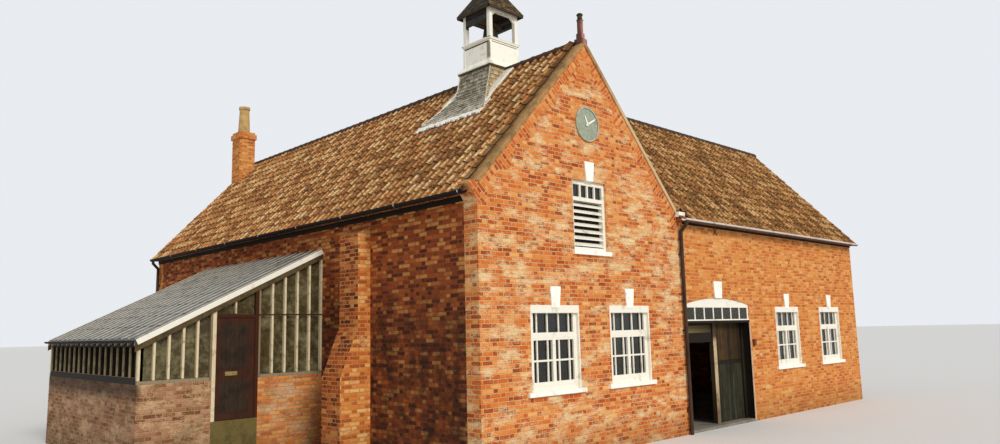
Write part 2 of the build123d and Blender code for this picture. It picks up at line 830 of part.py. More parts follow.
def make_coach_doorway():
    """Overlight, transom, posts and head board, the two leaves and their hinges."""
    light_y = front + light_reveal
    light_back = light_y + light_depth
    light_z0 = door_clear + door_transom
    post_y = front + post_setback
    post_back = post_y + post_depth
    transom = block(door_x0, door_x1, light_y, post_back, door_clear, light_z0)
    over = block(door_x0, door_x1, light_y, light_back, light_z0, arch_spring)
    over += extrude(arch_face(light_y), amount=light_depth, dir=(0, 1, 0))
    pane = (door_width - 2 * light_border - (light_count - 1) * light_bar) / light_count
    for index in range(light_count):
        x = door_x0 + light_border + index * (pane + light_bar)
        over -= block(x, x + pane, light_y - 1, light_back + 1, light_z0, light_head)
    save("overlight", over)
    glass = block(
        door_x0 + light_border, door_x1 - light_border, light_back, light_back + glass_thickness,
        light_z0, light_head + light_border / 2,
    )
    save("overlight_glass", glass)
    bay_x0 = door_x0 + post_width
    bay_x1 = door_x1 - post_width
    post_x1 = centre_post_x + centre_post_width
    frame = transom + block(door_x0, bay_x0, post_y, post_back, 0, door_clear)
    frame += block(bay_x1, door_x1, post_y, post_back, 0, door_clear)
    frame += block(centre_post_x, post_x1, post_y, post_back, 0, door_clear)
    board_y = post_y + leaf_setback
    frame += block(bay_x0, centre_post_x, board_y, board_y + head_board_thickness, head_board_z, door_clear)

    leaf_y = post_back - leaf_thickness
    axis_y = post_back + hinge_standoff
    left_axis = bay_x0 + hinge_inset
    right_axis = bay_x1 - hinge_inset
    z0 = floor_top + leaf_floor_gap
    left_top = head_board_z - leaf_gap
    right_top = door_clear - leaf_gap
    left = boarded_leaf(bay_x0 + leaf_gap, centre_post_x - leaf_gap, leaf_y, z0, left_top, [leaf_low_rail_z])
    right = boarded_leaf(post_x1 + leaf_gap, bay_x1 - leaf_gap, leaf_y, z0, right_top, [leaf_mid_rail_z])
    for z in hinge_levels(z0, left_top):
        left += strap(left_axis, axis_y, 1, z, strap_length)
        frame += pintle(left_axis, axis_y, 1, z)
    for z in hinge_levels(z0, right_top):
        right += strap(right_axis, axis_y, -1, z, strap_length)
        frame += pintle(right_axis, axis_y, -1, z)
    save("coach_door_frame", frame)
    swing = Pos(left_axis, axis_y, 0) * Rot(0, 0, 90) * Pos(-left_axis, -axis_y, 0)
    save("coach_door_left", swing * left)
    save("coach_door_right", right)


def make_chimney():
    """Brick stack grown out of the rear gable, and its tall pot."""
    x1 = stack_x0 + stack_width
    y0 = rear - stack_depth
    band_drop, band_top = stack_band
    stack = block(stack_x0, x1, y0, rear, stack_seat_z, stack_top_z)
    stack += block(
        stack_x0 - stack_cap, x1 + stack_cap, y0 - stack_cap, rear + stack_cap,
        stack_top_z - band_drop, stack_top_z - band_top,
    )
    save("chimney_stack", stack)
    foot = pot_radius + 20
    rim = pot_radius + 10
    neck_z = pot_height - 110
    pot = turned(
        [
            (pot_bore, 0), (foot, 0), (foot, 60), (pot_radius - 15, neck_z), (rim, neck_z + 30),
            (rim, pot_height), (pot_bore, pot_height),
        ]
    )
    save("chimney_pot", Pos(stack_x0 + stack_width / 2, rear - stack_depth / 2, stack_top_z) * pot)


def make_buttress():
    """The stepped buttress on the left wall."""
    low, high = buttress_slope_z
    wall_x = -half
    outline = [
        (wall_x, 0), (wall_x - buttress_foot, 0), (wall_x - buttress_foot, low),
        (wall_x - buttress_head, high), (wall_x - buttress_head, buttress_top_z - buttress_weathering),
        (wall_x, buttress_top_z),
    ]
    save("buttress", across(outline, buttress_y, buttress_y + buttress_width))


def rake_z(x):
    """Height of the underside of the glasshouse glass at a place across it."""
    return house_top_z - roof_glass / house_lean - (-half - x) * house_slope


def house_end_frame(y0, door):
    """Framing of one glazed end, up to the rafters."""
    x1 = -half
    drop = rafter_depth / house_lean
    outline = [
        (house_x, house_wall_z), (x1, house_wall_z),
        (x1, rake_z(x1) - drop), (house_x, rake_z(house_x) - drop),
    ]
    frame = across(outline, y0, y0 + house_frame)
    ranges = [(house_x, x1)]
    if door:
        d1 = house_door_x1
        d0 = house_door_x0
        ranges = [(house_x, d0 - house_post), (d1 + house_post, x1)]
        frame += block(d0 - house_post, d0, y0, y0 + house_frame, house_floor_z, house_wall_z)
        frame += block(d1, d1 + house_post, y0, y0 + house_frame, house_floor_z, house_wall_z)
        frame -= block(d0, d1, y0 - 1, y0 + house_frame + 1, house_floor_z, house_door_head)
        fan_top = [(x, rake_z(x) - drop - house_rail) for x in (d0, d1)]
        fan_foot = house_door_head + house_rail
        fan = [(d0, fan_foot), (d1, fan_foot), fan_top[1], fan_top[0]]
        frame -= across(fan, y0 - 1, y0 + house_frame + 1)
    for a, b in ranges:
        count = max(1, round((b - a) / house_bay))
        step = (b - a - house_bar) / count
        for index in range(count):
            p0 = a + house_bar + index * step
            p1 = p0 + step - house_bar
            foot = house_wall_z + house_rail
            frame -= across(
                [
                    (p0, foot), (p1, foot),
                    (p1, rake_z(p1) - drop - house_rail), (p0, rake_z(p0) - drop - house_rail),
                ],
                y0 - 1, y0 + house_frame + 1,
            )
    return frame


def house_end_glass(y0, door):
    """The glass behind the framing of one end."""
    drop = rafter_depth / house_lean
    x1 = -half
    inset = house_wall / 2
    x0 = house_x + inset
    outline = [(x0, house_wall_z), (x1, house_wall_z), (x1, rake_z(x1) - drop), (x0, rake_z(x0) - drop)]
    glass = across(outline, y0, y0 + glass_thickness)
    if door:
        d1 = house_door_x1 + house_post / 2
        d0 = house_door_x0 - house_post / 2
        glass -= block(d0, d1, y0 - 1, y0 + glass_thickness + 1, 0, house_door_head + house_rail / 2)
    return glass


def make_glasshouse():
    """The lean-to glasshouse with its dwarf walls, framing, glass, floor and door."""
    x1 = -half
    d1 = house_door_x1
    d0 = house_door_x0
    inner_x = house_x + house_wall
    save(
        "glasshouse_end_walls",
        block(d1 + house_post, x1, house_y0, house_y0 + house_wall, 0, house_wall_z),
        block(house_x, d0 - house_post, house_y0, house_y0 + house_wall, 0, house_wall_z),
        block(house_x, x1, house_y1 - house_wall, house_y1, 0, house_wall_z),
    )
    side = block(house_x, inner_x, house_y0 + house_wall, house_y1 - house_wall, 0, house_wall_z)
    save("glasshouse_side_wall", side)
    fill = block(inner_x, x1, house_y0 + house_wall, house_y1 - house_wall, 0, house_floor_z)
    fill += block(d0 - house_post, d1 + house_post, house_y0, house_y0 + house_wall, 0, house_floor_z)
    save("glasshouse_floor", fill)

    drop = rafter_depth / house_lean
    side_y0 = house_y0 + house_frame
    side_y1 = house_y1 - house_frame
    low = rake_z(house_x) - drop
    high = rake_z(house_x + house_frame) - drop
    side = across(
        [
            (house_x, house_wall_z), (house_x + house_frame, house_wall_z),
            (house_x + house_frame, high), (house_x, low),
        ],
        side_y0, side_y1,
    )
    count = round((side_y1 - side_y0) / house_side_bay)
    step = (side_y1 - side_y0 - house_bar) / count
    for index in range(count):
        p0 = side_y0 + house_bar + index * step
        p1 = p0 + step - house_bar
        foot = house_wall_z + 2 * house_rail
        side -= block(house_x - 1, house_x + house_frame + 1, p0, p1, foot, low - house_rail)
    save("glasshouse_side_frame", side)

    plate_x = x1 - house_plate
    rafters = across(
        [
            (x1, rake_z(x1)), (x1, rake_z(x1) - drop),
            (plate_x, rake_z(plate_x) - drop), (plate_x, rake_z(plate_x)),
        ],
        house_y0, house_y1,
    )
    count = round(house_length / house_side_bay)
    pitch = (house_length - rafter_width) / count
    eaves_x = house_x - house_overhang
    for index in range(count + 1):
        y = house_y0 + index * pitch
        rafters += across(
            [
                (x1, rake_z(x1)), (x1, rake_z(x1) - drop),
                (eaves_x, rake_z(eaves_x) - drop), (eaves_x, rake_z(eaves_x)),
            ],
            y, y + rafter_width,
        )
    save("glasshouse_rafters", rafters)
    sheet_drop = roof_glass / house_lean
    sheet = across(
        [
            (x1, rake_z(x1)), (x1, rake_z(x1) + sheet_drop),
            (eaves_x, rake_z(eaves_x) + sheet_drop), (eaves_x, rake_z(eaves_x)),
        ],
        house_y0, house_y1,
    )
    save("glasshouse_roof_glass", sheet)
    inner = house_x + house_frame
    save(
        "glasshouse_wall_glass",
        house_end_glass(house_y0 + house_frame, True),
        house_end_glass(house_y1 - house_frame - glass_thickness, False),
        block(inner, inner + glass_thickness, side_y0 + house_wall, side_y1 - house_wall, house_wall_z, high),
    )
    boards = []
    for y in (house_y0 - barge_thickness, house_y1):
        boards.append(
            across(
                [
                    (x1, rake_z(x1) + sheet_drop), (x1, rake_z(x1) - barge_depth),
                    (eaves_x, rake_z(eaves_x) - barge_depth), (eaves_x, rake_z(eaves_x) + sheet_drop),
                ],
                y, y + barge_thickness,
            )
        )
    save("glasshouse_bargeboards", *boards)

    back = house_y0 + house_frame
    z0 = house_floor_z + leaf_floor_gap
    z1 = house_door_head - leaf_gap
    middle_z = z0 + house_rail_share * (z1 - z0)
    leaf = boarded_leaf(d0 + leaf_gap, d1 - leaf_gap, back - leaf_thickness, z0, z1, [middle_z])
    axis_x = d0 + hinge_inset
    axis_y = back + hinge_standoff
    near_frame = house_end_frame(house_y0, True)
    for z in hinge_levels(z0, z1):
        leaf += strap(axis_x, axis_y, 1, z, house_strap_length)
        near_frame += pintle(axis_x, axis_y, 1, z)
    save("glasshouse_door", leaf)
    save("glasshouse_end_frames", near_frame, house_end_frame(house_y1 - house_frame, False))


def make_floors():
    """Ground floor and loft floor inside the walls."""
    outline = [
        (-half + wall, inside), (door_x0, inside), (wing_end - wall, inside),
        (wing_end - wall, wing_rear - wall), (half - wall, wing_rear - wall),
        (half - wall, rear - wall), (-half + wall, rear - wall),
    ]
    ground = upright(outline, 0, floor_top)
    ground += block(door_x0, door_x1, front, inside, 0, floor_top)
    for x0, x1 in (
        (door_x0, door_x0 + post_width), (door_x1 - post_width, door_x1),
        (centre_post_x, centre_post_x + centre_post_width),
    ):
        ground -= block(x0, x1, front + post_setback, front + post_setback + post_depth, -1, floor_top + 1)
    save("ground_floor", ground)
    save("loft_floor", upright(outline, loft_top - loft_thickness, loft_top))


def trough(width):
    """Half-round section of a gutter, open at the top, from its inner edge at (0, 0)."""
    outer = width / 2
    inner = outer - gutter_wall
    turns = [radians(180 * index / gutter_facets) for index in range(gutter_facets + 1)]
    points = [(outer - outer * cos(turn), -outer * sin(turn)) for turn in turns]
    return points + [(outer + inner * cos(turn), -inner * sin(turn)) for turn in turns]


def drop_pipe():
    """A downpipe with its bends and clips, on a wall that faces -Y at Y = 0."""
    near = -pipe_standoff - pipe_radius
    far = -eaves_overhang - gutter_width / 2
    top = gutter_z - gutter_width / 2
    bend = top - outlet_length
    knee = bend - (near - far)
    path = Polyline((0, far, top), (0, far, bend), (0, near, knee), (0, near, 0))
    outlet = Pos(0, far, top) * Rot(180, 0, 0) * Circle(pipe_radius)
    pipe = sweep(outlet, path=path, transition=Transition.RIGHT)
    for share in (0.12, 0.5, 0.88):
        z = share * knee
        pipe += block(-clip_width / 2, clip_width / 2, near, 0, z, z + clip_height)
    return pipe


def make_rainwater():
    """Gutters under the eaves and the downpipes that drain them."""
    section = trough(gutter_width)
    start = front + gutter_setback
    back_y = wing_y + reach
    left = across([(-reach - u, gutter_z + z) for u, z in section], start, rear)
    right = across([(reach + u, gutter_z + z) for u, z in section], back_y + gutter_width, rear)
    behind = along([(back_y + u, gutter_z + z) for u, z in section], reach + gutter_width, wing_end)
    eaves_x = house_x - house_overhang
    low = trough(house_gutter_width)
    lean = across([(eaves_x - u, rake_z(eaves_x) + z) for u, z in low], house_y0, house_y1)
    save("gutters", left, right, behind, lean)
    save("wing_gutter", along([(wing_y - reach - u, gutter_z + z) for u, z in section], half, wing_end))
    places = [
        (pipe_x, front, 0), (wing_end - pipe_gap - pipe_radius, wing_rear, 180),
        (half, rear - pipe_gap - pipe_radius, 90), (-half, rear - pipe_gap - pipe_radius, -90),
    ]
    save("downpipe", *[put(place, drop_pipe()) for place in places])


os.makedirs("parts", exist_ok=True)
make_walls()
main_prism, wing_prism = make_roofs()
make_turret(main_prism, wing_prism)
make_bell()
make_clock()
make_windows()
make_coach_doorway()
make_chimney()
make_buttress()
make_glasshouse()
make_floors()
make_rainwater()
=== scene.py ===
# %% [markdown]
# # A brick coach house, dressed for a picture
# The walls, roofs, doors and frames come ready made from the solid model. This lesson adds what a
# solid model leaves out: brickwork, clay tiles, slates, glazing bars, paint, rust and weather.
# Everything is in metres. X runs along the front, Y goes back into the depth and Z is up.

# %% Load the frame
import json
import math
import random
import bmesh
import bpy
from mathutils import Matrix, Vector


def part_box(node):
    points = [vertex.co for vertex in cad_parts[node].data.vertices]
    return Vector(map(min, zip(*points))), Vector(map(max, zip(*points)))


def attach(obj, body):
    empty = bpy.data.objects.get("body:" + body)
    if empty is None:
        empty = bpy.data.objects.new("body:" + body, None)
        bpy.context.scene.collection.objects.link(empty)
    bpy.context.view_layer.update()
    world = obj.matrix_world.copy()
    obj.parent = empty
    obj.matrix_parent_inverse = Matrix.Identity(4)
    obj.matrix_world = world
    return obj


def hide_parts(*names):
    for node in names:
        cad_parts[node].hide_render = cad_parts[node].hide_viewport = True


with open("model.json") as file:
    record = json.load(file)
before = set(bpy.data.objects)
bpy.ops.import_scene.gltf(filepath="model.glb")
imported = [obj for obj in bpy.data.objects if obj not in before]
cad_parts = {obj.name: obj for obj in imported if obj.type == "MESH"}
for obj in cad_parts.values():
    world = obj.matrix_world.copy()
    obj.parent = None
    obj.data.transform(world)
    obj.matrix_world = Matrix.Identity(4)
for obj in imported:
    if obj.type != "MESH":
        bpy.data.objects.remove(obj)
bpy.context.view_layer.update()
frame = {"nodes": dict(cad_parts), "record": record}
nodes = frame["nodes"]
UP = Vector((0, 0, 1))

# %% [markdown]
# ## The camera
# The picture is taken from near the left corner of the front, along both walls. The place, the direction
# and the lens were worked out from the straight edges of the building, so the camera is written down as
# a point, three turns and a focal length.

# %% Camera
def in_scene(name, data):
    """A new object of the scene that shows a mesh, a lamp or a camera."""
    made = bpy.data.objects.new(name, data)
    bpy.context.scene.collection.objects.link(made)
    return made


eye = Vector((-11.1654, -9.2632, 2.2987))
yaw, pitch, roll = (math.radians(angle) for angle in (43.905, 8.096, -1.347))
ahead = Vector((math.sin(yaw) * math.cos(pitch), math.cos(yaw) * math.cos(pitch), math.sin(pitch)))
level = Vector((math.cos(yaw), -math.sin(yaw), 0))
upward = level.cross(ahead)
side = math.cos(roll) * level + math.sin(roll) * upward
top = math.cos(roll) * upward - math.sin(roll) * level
lens = bpy.data.cameras.new("camera")
lens.lens = 27.09
lens.clip_end = 400
camera = in_scene("camera", lens)
camera.matrix_world = Matrix.Translation(eye) @ Matrix((side, top, -ahead)).transposed().to_4x4()
bpy.context.scene.camera = camera
print("camera at", [round(v, 2) for v in eye])

# %% [markdown]
# ## Colours and nodes
# A hex colour is an sRGB number, while Blender's sockets work in linear light, so one function turns
# one into the other. A second function adds a node with its settings and links, and nothing more. A
# row of colours with no places given is spread evenly over its ramp.

# %% Two helpers for every material
def linear(code):
    """An sRGB hex colour as linear red, green, blue and alpha."""
    parts = [int(code[i:i + 2], 16) / 255 for i in (1, 3, 5)]
    return [p / 12.92 if p <= 0.04045 else ((p + 0.055) / 1.055) ** 2.4 for p in parts] + [1.0]


def add(tree, kind, *values, stops=(), into=None, **named):
    """Adds a node, or does a sum where the kind is in capitals. Values fill its inputs in order.
    A word with a capital names an input, and any other word a setting."""
    if kind.isupper():
        kind, named = "Math", dict(named, operation=kind)
    made = tree.nodes.new(kind if "Node" in kind else "ShaderNode" + kind)
    for key, value in named.items():
        if key.islower():
            setattr(made, key, value)
    filled = list(zip([slot for slot in made.inputs if slot.enabled], values))
    for key, value in named.items():
        if not key.islower():
            filled.append((made.inputs[key.replace("_", " ")], value))
    for slot, value in filled:
        if isinstance(value, bpy.types.Node):
            value = next(end for end in value.outputs if end.enabled)
        if isinstance(value, bpy.types.NodeSocket):
            tree.links.new(value, slot)
        elif value is not None:
            slot.default_value = linear(value) if isinstance(value, str) and value[:1] == "#" else value
    if isinstance(stops, str):
        codes = stops.split()
        stops = [(i / (len(codes) - 1), code) for i, code in enumerate(codes)]
    for place, code in stops:
        ramp = made.color_ramp.elements
        spot = ramp[0] if place == 0 else ramp[-1] if place == 1 else ramp.new(place)
        spot.color = linear(code)
    if into:
        tree.links.new(next(end for end in made.outputs if end.enabled), into)
    return made


print("white is", linear("#ffffff"))

# %% [markdown]
# ## The stage
# A plain pale floor and a soft light that comes from the front, a little from the left, as it does in
# a studio with one big window. The lamp is a sun with a wide disc, so that its shadows are soft, and
# the world fills in the rest. The backdrop is white only for the camera and for what mirrors it.

# %% Floor, sun and world
FAR = 300
floor_mesh = bpy.data.meshes.new("floor")
floor_mesh.from_pydata([(-FAR, -FAR, 0), (FAR, -FAR, 0), (FAR, FAR, 0), (-FAR, FAR, 0)], [], [(0, 1, 2, 3)])
in_scene("floor", floor_mesh)
# Smooth plaster, pale and even, with clouds that only just show.
plaster = bpy.data.materials.new("plaster_floor")
plaster.use_nodes = True
tree = plaster.node_tree
shader = tree.nodes["Principled BSDF"]
shader.inputs["Roughness"].default_value = 0.9
coarse = add(tree, "TexNoise", None, 0.35, 3)
add(tree, "ValToRGB", coarse, stops="#d9d7d2 #e3e1dc", into=shader.inputs["Base Color"])
floor_mesh.materials.append(plaster)

sun = in_scene("sun", bpy.data.lights.new("sun", "SUN"))
sun.data.energy = 2.15
sun.data.angle = math.radians(22)
sun.data.color = (1.0, 0.965, 0.91)
sun.rotation_euler = Vector((-0.18, -0.84, 0.58)).to_track_quat("Z", "Y").to_euler()

world = bpy.data.worlds.new("soft_room")
world.use_nodes = True
bpy.context.scene.world = world
tree = world.node_tree
room = tree.nodes["Background"].inputs
rays = add(tree, "LightPath").outputs
seen = add(tree, "MAXIMUM", rays["Is Camera Ray"], rays["Is Glossy Ray"])
seen = add(tree, "MAXIMUM", seen, rays["Is Transmission Ray"])
add(tree, "Mix", seen, "#e4e9f2", "#eef1f5", data_type="RGBA", into=room["Color"])
add(tree, "MapRange", seen, 0, 1, 0.62, 0.95, into=room["Strength"])
bpy.context.scene.view_settings.view_transform = "Standard"
print("sun", sun.data.energy, "with a disc of", round(math.degrees(sun.data.angle)), "degrees")

# %% [markdown]
# ## A finish that wears
# Painted wood, stone, clay and metal differ in colour and grain, but weather in the same way: a fine
# grain, soft patches and dirt that gathers here and there. One function gives a material its grain, and
# a second its mottled tones and its dirt. Sizes are in millimetres of the real thing.

# %% A weathered finish
MATERIALS = {}


def start(name):
    """A new material: its tree, its shader and a socket with the building's own coordinates."""
    MATERIALS[name] = bpy.data.materials.new(name)
    MATERIALS[name].use_nodes = True
    tree = MATERIALS[name].node_tree
    return tree, tree.nodes["Principled BSDF"], add(tree, "TexCoord").outputs["Object"]


def grained(name, grain, stretch=(1, 1, 1), bump=1.0, rough=(0.6, 0.9), metal=0.0, shine=0.2):
    """A material whose gloss and relief follow a fine grain. grain is a length, bump a height in mm."""
    tree, shader, place = start(name)
    along = add(tree, "Mapping", place, Scale=stretch)
    fine = add(tree, "TexNoise", along, 1000 / grain, 5, 0.6)
    add(tree, "MapRange", fine, 0, 1, *rough, into=shader.inputs["Roughness"])
    add(tree, "Bump", Height=fine, Distance=bump / 1000, Strength=0.8, into=shader.inputs["Normal"])
    shader.inputs["Metallic"].default_value = metal
    if not metal:
        # A weathered surface is dusty, and mirrors less than clean paint or clay would.
        shader.inputs["Specular IOR Level"].default_value = shine
    return tree, shader, place, fine


def weathered(name, tones, dirt, grain, patch=600, cover=0.5, **look):
    """A grained finish of mottled tones, with dirt in patches of a length in mm."""
    tree, shader, place, fine = grained(name, grain, **look)
    wide = add(tree, "TexNoise", place, 1000 / patch, 6, 0.62)
    base = add(tree, "ValToRGB", fine, stops=tones)
    mask = add(tree, "MapRange", wide, 0.62 - 0.3 * cover, 0.72, 0, 0.85)
    add(tree, "Mix", mask, base, dirt, data_type="RGBA", into=shader.inputs["Base Color"])
    return tree, place


print("a grain of 14 mm is a noise of scale", round(1000 / 14, 1))

# %% [markdown]
# ## A second coat
# Many parts are one finish with a stain, a scorched edge or fresh paint on some of it. `coat` lays such a
# colour over a finish where all of its limits hold. A limit is a value with a start and an end, between
# which it comes in. With a middle before them, start and end are distances from that middle.

# %% A second coat
def coat(name, code, most, *limits):
    """Lays a colour over a finish, at its strongest by the most, within limits on X, Y, Z, tone or a node."""
    tree = MATERIALS[name].node_tree
    under = tree.nodes["Principled BSDF"].inputs["Base Color"]
    axes = add(tree, "SeparateXYZ", tree.nodes["Texture Coordinate"].outputs["Object"]).outputs
    share = None
    for value, *middle, begin, end in limits:
        if value == "tone":
            value = add(tree, "Attribute", attribute_name="tone").outputs["Fac"]
        elif isinstance(value, str):
            value = axes[value]
        if middle:
            value = add(tree, "SUBTRACT", value, middle[0])
            value = add(tree, "ABSOLUTE", value)
        step = add(tree, "MapRange", value, begin, end, 0, 1 if share else most)
        share = add(tree, "MULTIPLY", share, step) if share else step
    add(tree, "Mix", share, under.links[0].from_socket, code, data_type="RGBA", into=under)
    print(f"{name}: a coat of {code}")


# %% [markdown]
# ## Old brickwork
# The walls are hand-made bricks in Flemish bond: in each course a stretcher, 225 mm long, alternates
# with a header of 112 mm, and courses rise 75 mm. Blender's own brick texture has one length only, so
# the bond is worked out here from the object's coordinates. The first function gives a wall its own
# flat coordinates. On the gable it also turns the courses square to the slope in small wedges under the
# coping, which bricklayers call tumbling-in.

# %% A wall's own coordinates
# The sine and the cosine of the roof's slope, the line that the wedges hang from, and their size.
RAKE_SINE, RAKE_COSINE, RAKE_LINE = 0.7314, 0.6820, 5.344
WEDGE, LEAST_DEPTH = 0.45, 0.12


def wall_places(tree, spots, raking):
    """Run and rise along a wall's face, and where the raking wedges are."""
    x, y, z = add(tree, "SeparateXYZ", spots["Object"]).outputs
    turn = add(tree, "VectorMath", spots["Normal"], operation="ABSOLUTE")
    turn = add(tree, "SeparateXYZ", turn).outputs
    sideways = add(tree, "GREATER_THAN", turn["X"], turn["Y"])
    flat = add(tree, "GREATER_THAN", turn["Z"], 0.7)
    run = add(tree, "Mix", sideways, x, y)
    run = add(tree, "Mix", flat, run, x)
    rise = add(tree, "Mix", flat, z, y)
    wedge = None
    if raking:
        out = add(tree, "ABSOLUTE", x)
        drop = add(tree, "MULTIPLY_ADD", out, -RAKE_SINE, RAKE_LINE)
        drop = add(tree, "MULTIPLY_ADD", z, -RAKE_COSINE, drop)
        slope = add(tree, "MULTIPLY", out, RAKE_COSINE)
        slope = add(tree, "MULTIPLY_ADD", z, -RAKE_SINE, slope)
        saw = add(tree, "PINGPONG", slope, WEDGE)
        saw = add(tree, "MULTIPLY_ADD", saw, WEDGE, LEAST_DEPTH)
        wedge = add(tree, "LESS_THAN", drop, saw)
        wedge = add(tree, "SUBTRACT", wedge, sideways, use_clamp=True)
        run = add(tree, "Mix", wedge, run, drop)
        rise = add(tree, "Mix", wedge, rise, slope)
    # Hand-made bricks aren't straight, so both coordinates wander by a few millimetres.
    wobble = add(tree, "TexNoise", spots["Object"], 9.0, 3)
    run = add(tree, "MULTIPLY_ADD", wobble, 0.02, run)
    rise = add(tree, "MULTIPLY_ADD", wobble, 0.018, rise)
    return run, rise, wedge


print(f"wedges of bricks are {2 * WEDGE} m long and up to {WEDGE ** 2 + LEAST_DEPTH:.2f} m deep")

# %% [markdown]
# ## The bond
# The second function divides the face into bricks. It gives the distance to the nearest joint, and a
# number of its own for every brick. That number picks the clay, from over-burnt plum to pale orange.

# %% The bond
COURSE, STRETCHER, HEADER = 0.075, 0.225, 0.1125
PAIR = STRETCHER + HEADER


def flemish(tree, run, rise):
    """How much of a point is brick and not joint, and the brick's own random number."""
    level = add(tree, "DIVIDE", rise, COURSE)
    course = add(tree, "FLOOR", level)
    high = add(tree, "PINGPONG", level, 0.5)
    high = add(tree, "MULTIPLY", high, COURSE)
    run = add(tree, "MULTIPLY_ADD", course, PAIR / 2, run)
    pair = add(tree, "DIVIDE", run, PAIR)
    pair = add(tree, "FLOOR", pair)
    part = add(tree, "MULTIPLY_ADD", pair, -PAIR, run)
    header = add(tree, "GREATER_THAN", part, STRETCHER)
    middle = add(tree, "MULTIPLY_ADD", header, PAIR / 2, STRETCHER / 2)
    half = add(tree, "MULTIPLY_ADD", header, (HEADER - STRETCHER) / 2, STRETCHER / 2)
    away = add(tree, "SUBTRACT", part, middle)
    away = add(tree, "ABSOLUTE", away)
    wide = add(tree, "SUBTRACT", half, away)
    edge = add(tree, "MINIMUM", wide, high)
    brick = add(tree, "MapRange", edge, 0.004, 0.0095)
    number = add(tree, "MULTIPLY_ADD", pair, 2.0, header)
    number = add(tree, "CombineXYZ", number, course)
    return brick, add(tree, "TexWhiteNoise", number)


print(f"a stretcher and a header take {1000 * PAIR:.1f} mm, and four courses {4000 * COURSE:.0f} mm")

# %% [markdown]
# ## The brick materials
# The third function puts the wall together. Lime that was smeared over the joints lies in long level
# streaks, because a bricklayer works along a course. Soot and damp follow the wall as a whole. The clay
# is soft and red, pressed by hand in sanded moulds and fired in a clamp, so no two bricks are alike.

# %% Brick material
def streaks(tree, place, size, low, high, most, grit):
    """Level streaks of a size in mm, broken up by grit, from 0 to the most."""
    along = add(tree, "Mapping", place, Scale=(1, 1, 2.6))
    broad = add(tree, "TexNoise", along, 1000 / size, 7, 0.66)
    mask = add(tree, "MULTIPLY_ADD", grit, 0.5, broad)
    return add(tree, "MapRange", mask, low + 0.25, high + 0.25, 0, most)


def brickwork(name, tones, mortar, lime, lime_from, soot, soot_from, raking=False, spread=1.0, other=None):
    """Bricks in lime mortar. Lime and soot cover more of the wall where they start at a lower value.
    other is a second clay with the axis and the two values between which it takes over."""
    tree, shader, place = start(name)
    run, rise, wedge = wall_places(tree, tree.nodes["Texture Coordinate"].outputs, raking)
    brick, own = flemish(tree, run, rise)
    # Grit runs from 24 mm down to less than 1 mm. With the brick's own number it picks the clay.
    grit = add(tree, "TexNoise", place, 42.0, 5, 0.7)
    pick = add(tree, "MULTIPLY_ADD", own, spread, 0.5 - spread / 2)
    pick = add(tree, "MULTIPLY_ADD", grit, 0.9, pick)
    pick = add(tree, "SUBTRACT", pick, 0.45, use_clamp=True)
    clay = add(tree, "ValToRGB", pick, stops=tones)
    axes = add(tree, "SeparateXYZ", place).outputs
    if other:
        there = add(tree, "MapRange", axes[other[1]], *other[2:])
        second = add(tree, "ValToRGB", pick, stops=other[0])
        clay = add(tree, "Mix", there, clay, second, data_type="RGBA")
    wall = add(tree, "Mix", brick, mortar, clay, data_type="RGBA")
    burnt = streaks(tree, place, 420, 0.52, 0.7, 0.55, grit)
    wall = add(tree, "Mix", burnt, wall, tones.split()[1], data_type="RGBA")
    pale = streaks(tree, place, 560, lime_from, lime_from + 0.14, 0.85, grit)
    if wedge:
        pale = add(tree, "SUBTRACT", pale, wedge, use_clamp=True)
    wall = add(tree, "Mix", pale, wall, lime, data_type="RGBA")
    # Soot lies in clouds nearly a metre wide, and damp rises from the ground to the height of a knee.
    dark = add(tree, "TexNoise", place, 1.3, 9, 0.7, Distortion=0.4)
    dark = add(tree, "MapRange", dark, soot_from, soot_from + 0.2, 0, 0.6)
    wall = add(tree, "Mix", dark, wall, soot, data_type="RGBA")
    damp = add(tree, "MapRange", axes["Z"], 0.03, 0.7, 0.7, 0)
    damp = add(tree, "MULTIPLY", damp, grit)
    add(tree, "Mix", damp, wall, "#4a4426", data_type="RGBA", into=shader.inputs["Base Color"])
    shader.inputs["Roughness"].default_value = 0.93
    shader.inputs["Specular IOR Level"].default_value = 0.25
    # Each brick stands out by an amount of its own, and the grit of its face lies on top.
    stand = add(tree, "MULTIPLY_ADD", own, 0.35, 0.65)
    stand = add(tree, "MULTIPLY", stand, brick)
    stand = add(tree, "MULTIPLY_ADD", grit, 0.7, stand)
    add(tree, "Bump", Height=stand, Distance=0.009, Strength=1.0, into=shader.inputs["Normal"])
    return tree, place


ORANGE = "#93401c #bd5822 #d26b2a #dc8139 #e8a963"
GOLDEN = "#a04e20 #c5682a #d67f37 #dd9147 #e9b26c"
UMBER = "#55230f #823815 #a0491a #b65e27 #c98848"
ROSY = "#5b3620 #7d5130 #98684a #ad8060 #c8a284"
brickwork("gable_brick", ORANGE, "#dcae74", "#ecd09c", 0.5, "#5e3a1e", 0.66, raking=True)
brickwork("brick", GOLDEN, "#dba768", "#ebcb92", 0.6, "#6e4420", 0.66, spread=0.8)
# The buttress's faces behind its front take the darker umber clay, as painted shade.
brickwork("buttress_brick", GOLDEN, "#c98f54", "#dcb67c", 0.6, "#6e4420", 0.62, spread=1.2,
          other=(UMBER, "Y", 2.94, 2.946))
# The left wall is laid in darker umber clay, mortar and lime, as painted shade.
tree, place = brickwork("shaded_brick", UMBER, "#90582e", "#b08250", 0.64, "#33190b", 0.56, spread=1.2)
# Blotches of painted shade darken the wall below the height of a door.
blot = add(tree, "MapRange", add(tree, "TexNoise", place, 3.2, 8, 0.72), 0.36, 0.6, 0.15, 0.85)
coat("shaded_brick", "#241208", 1.0, (blot, 0, 1), ("Z", 3.7, 2.2))
brickwork("garden_brick", ROSY, "#b08f68", "#cba880", 0.5, "#4c4228", 0.52, spread=0.7,
          other=(GOLDEN, "X", -4.6, -4.3))
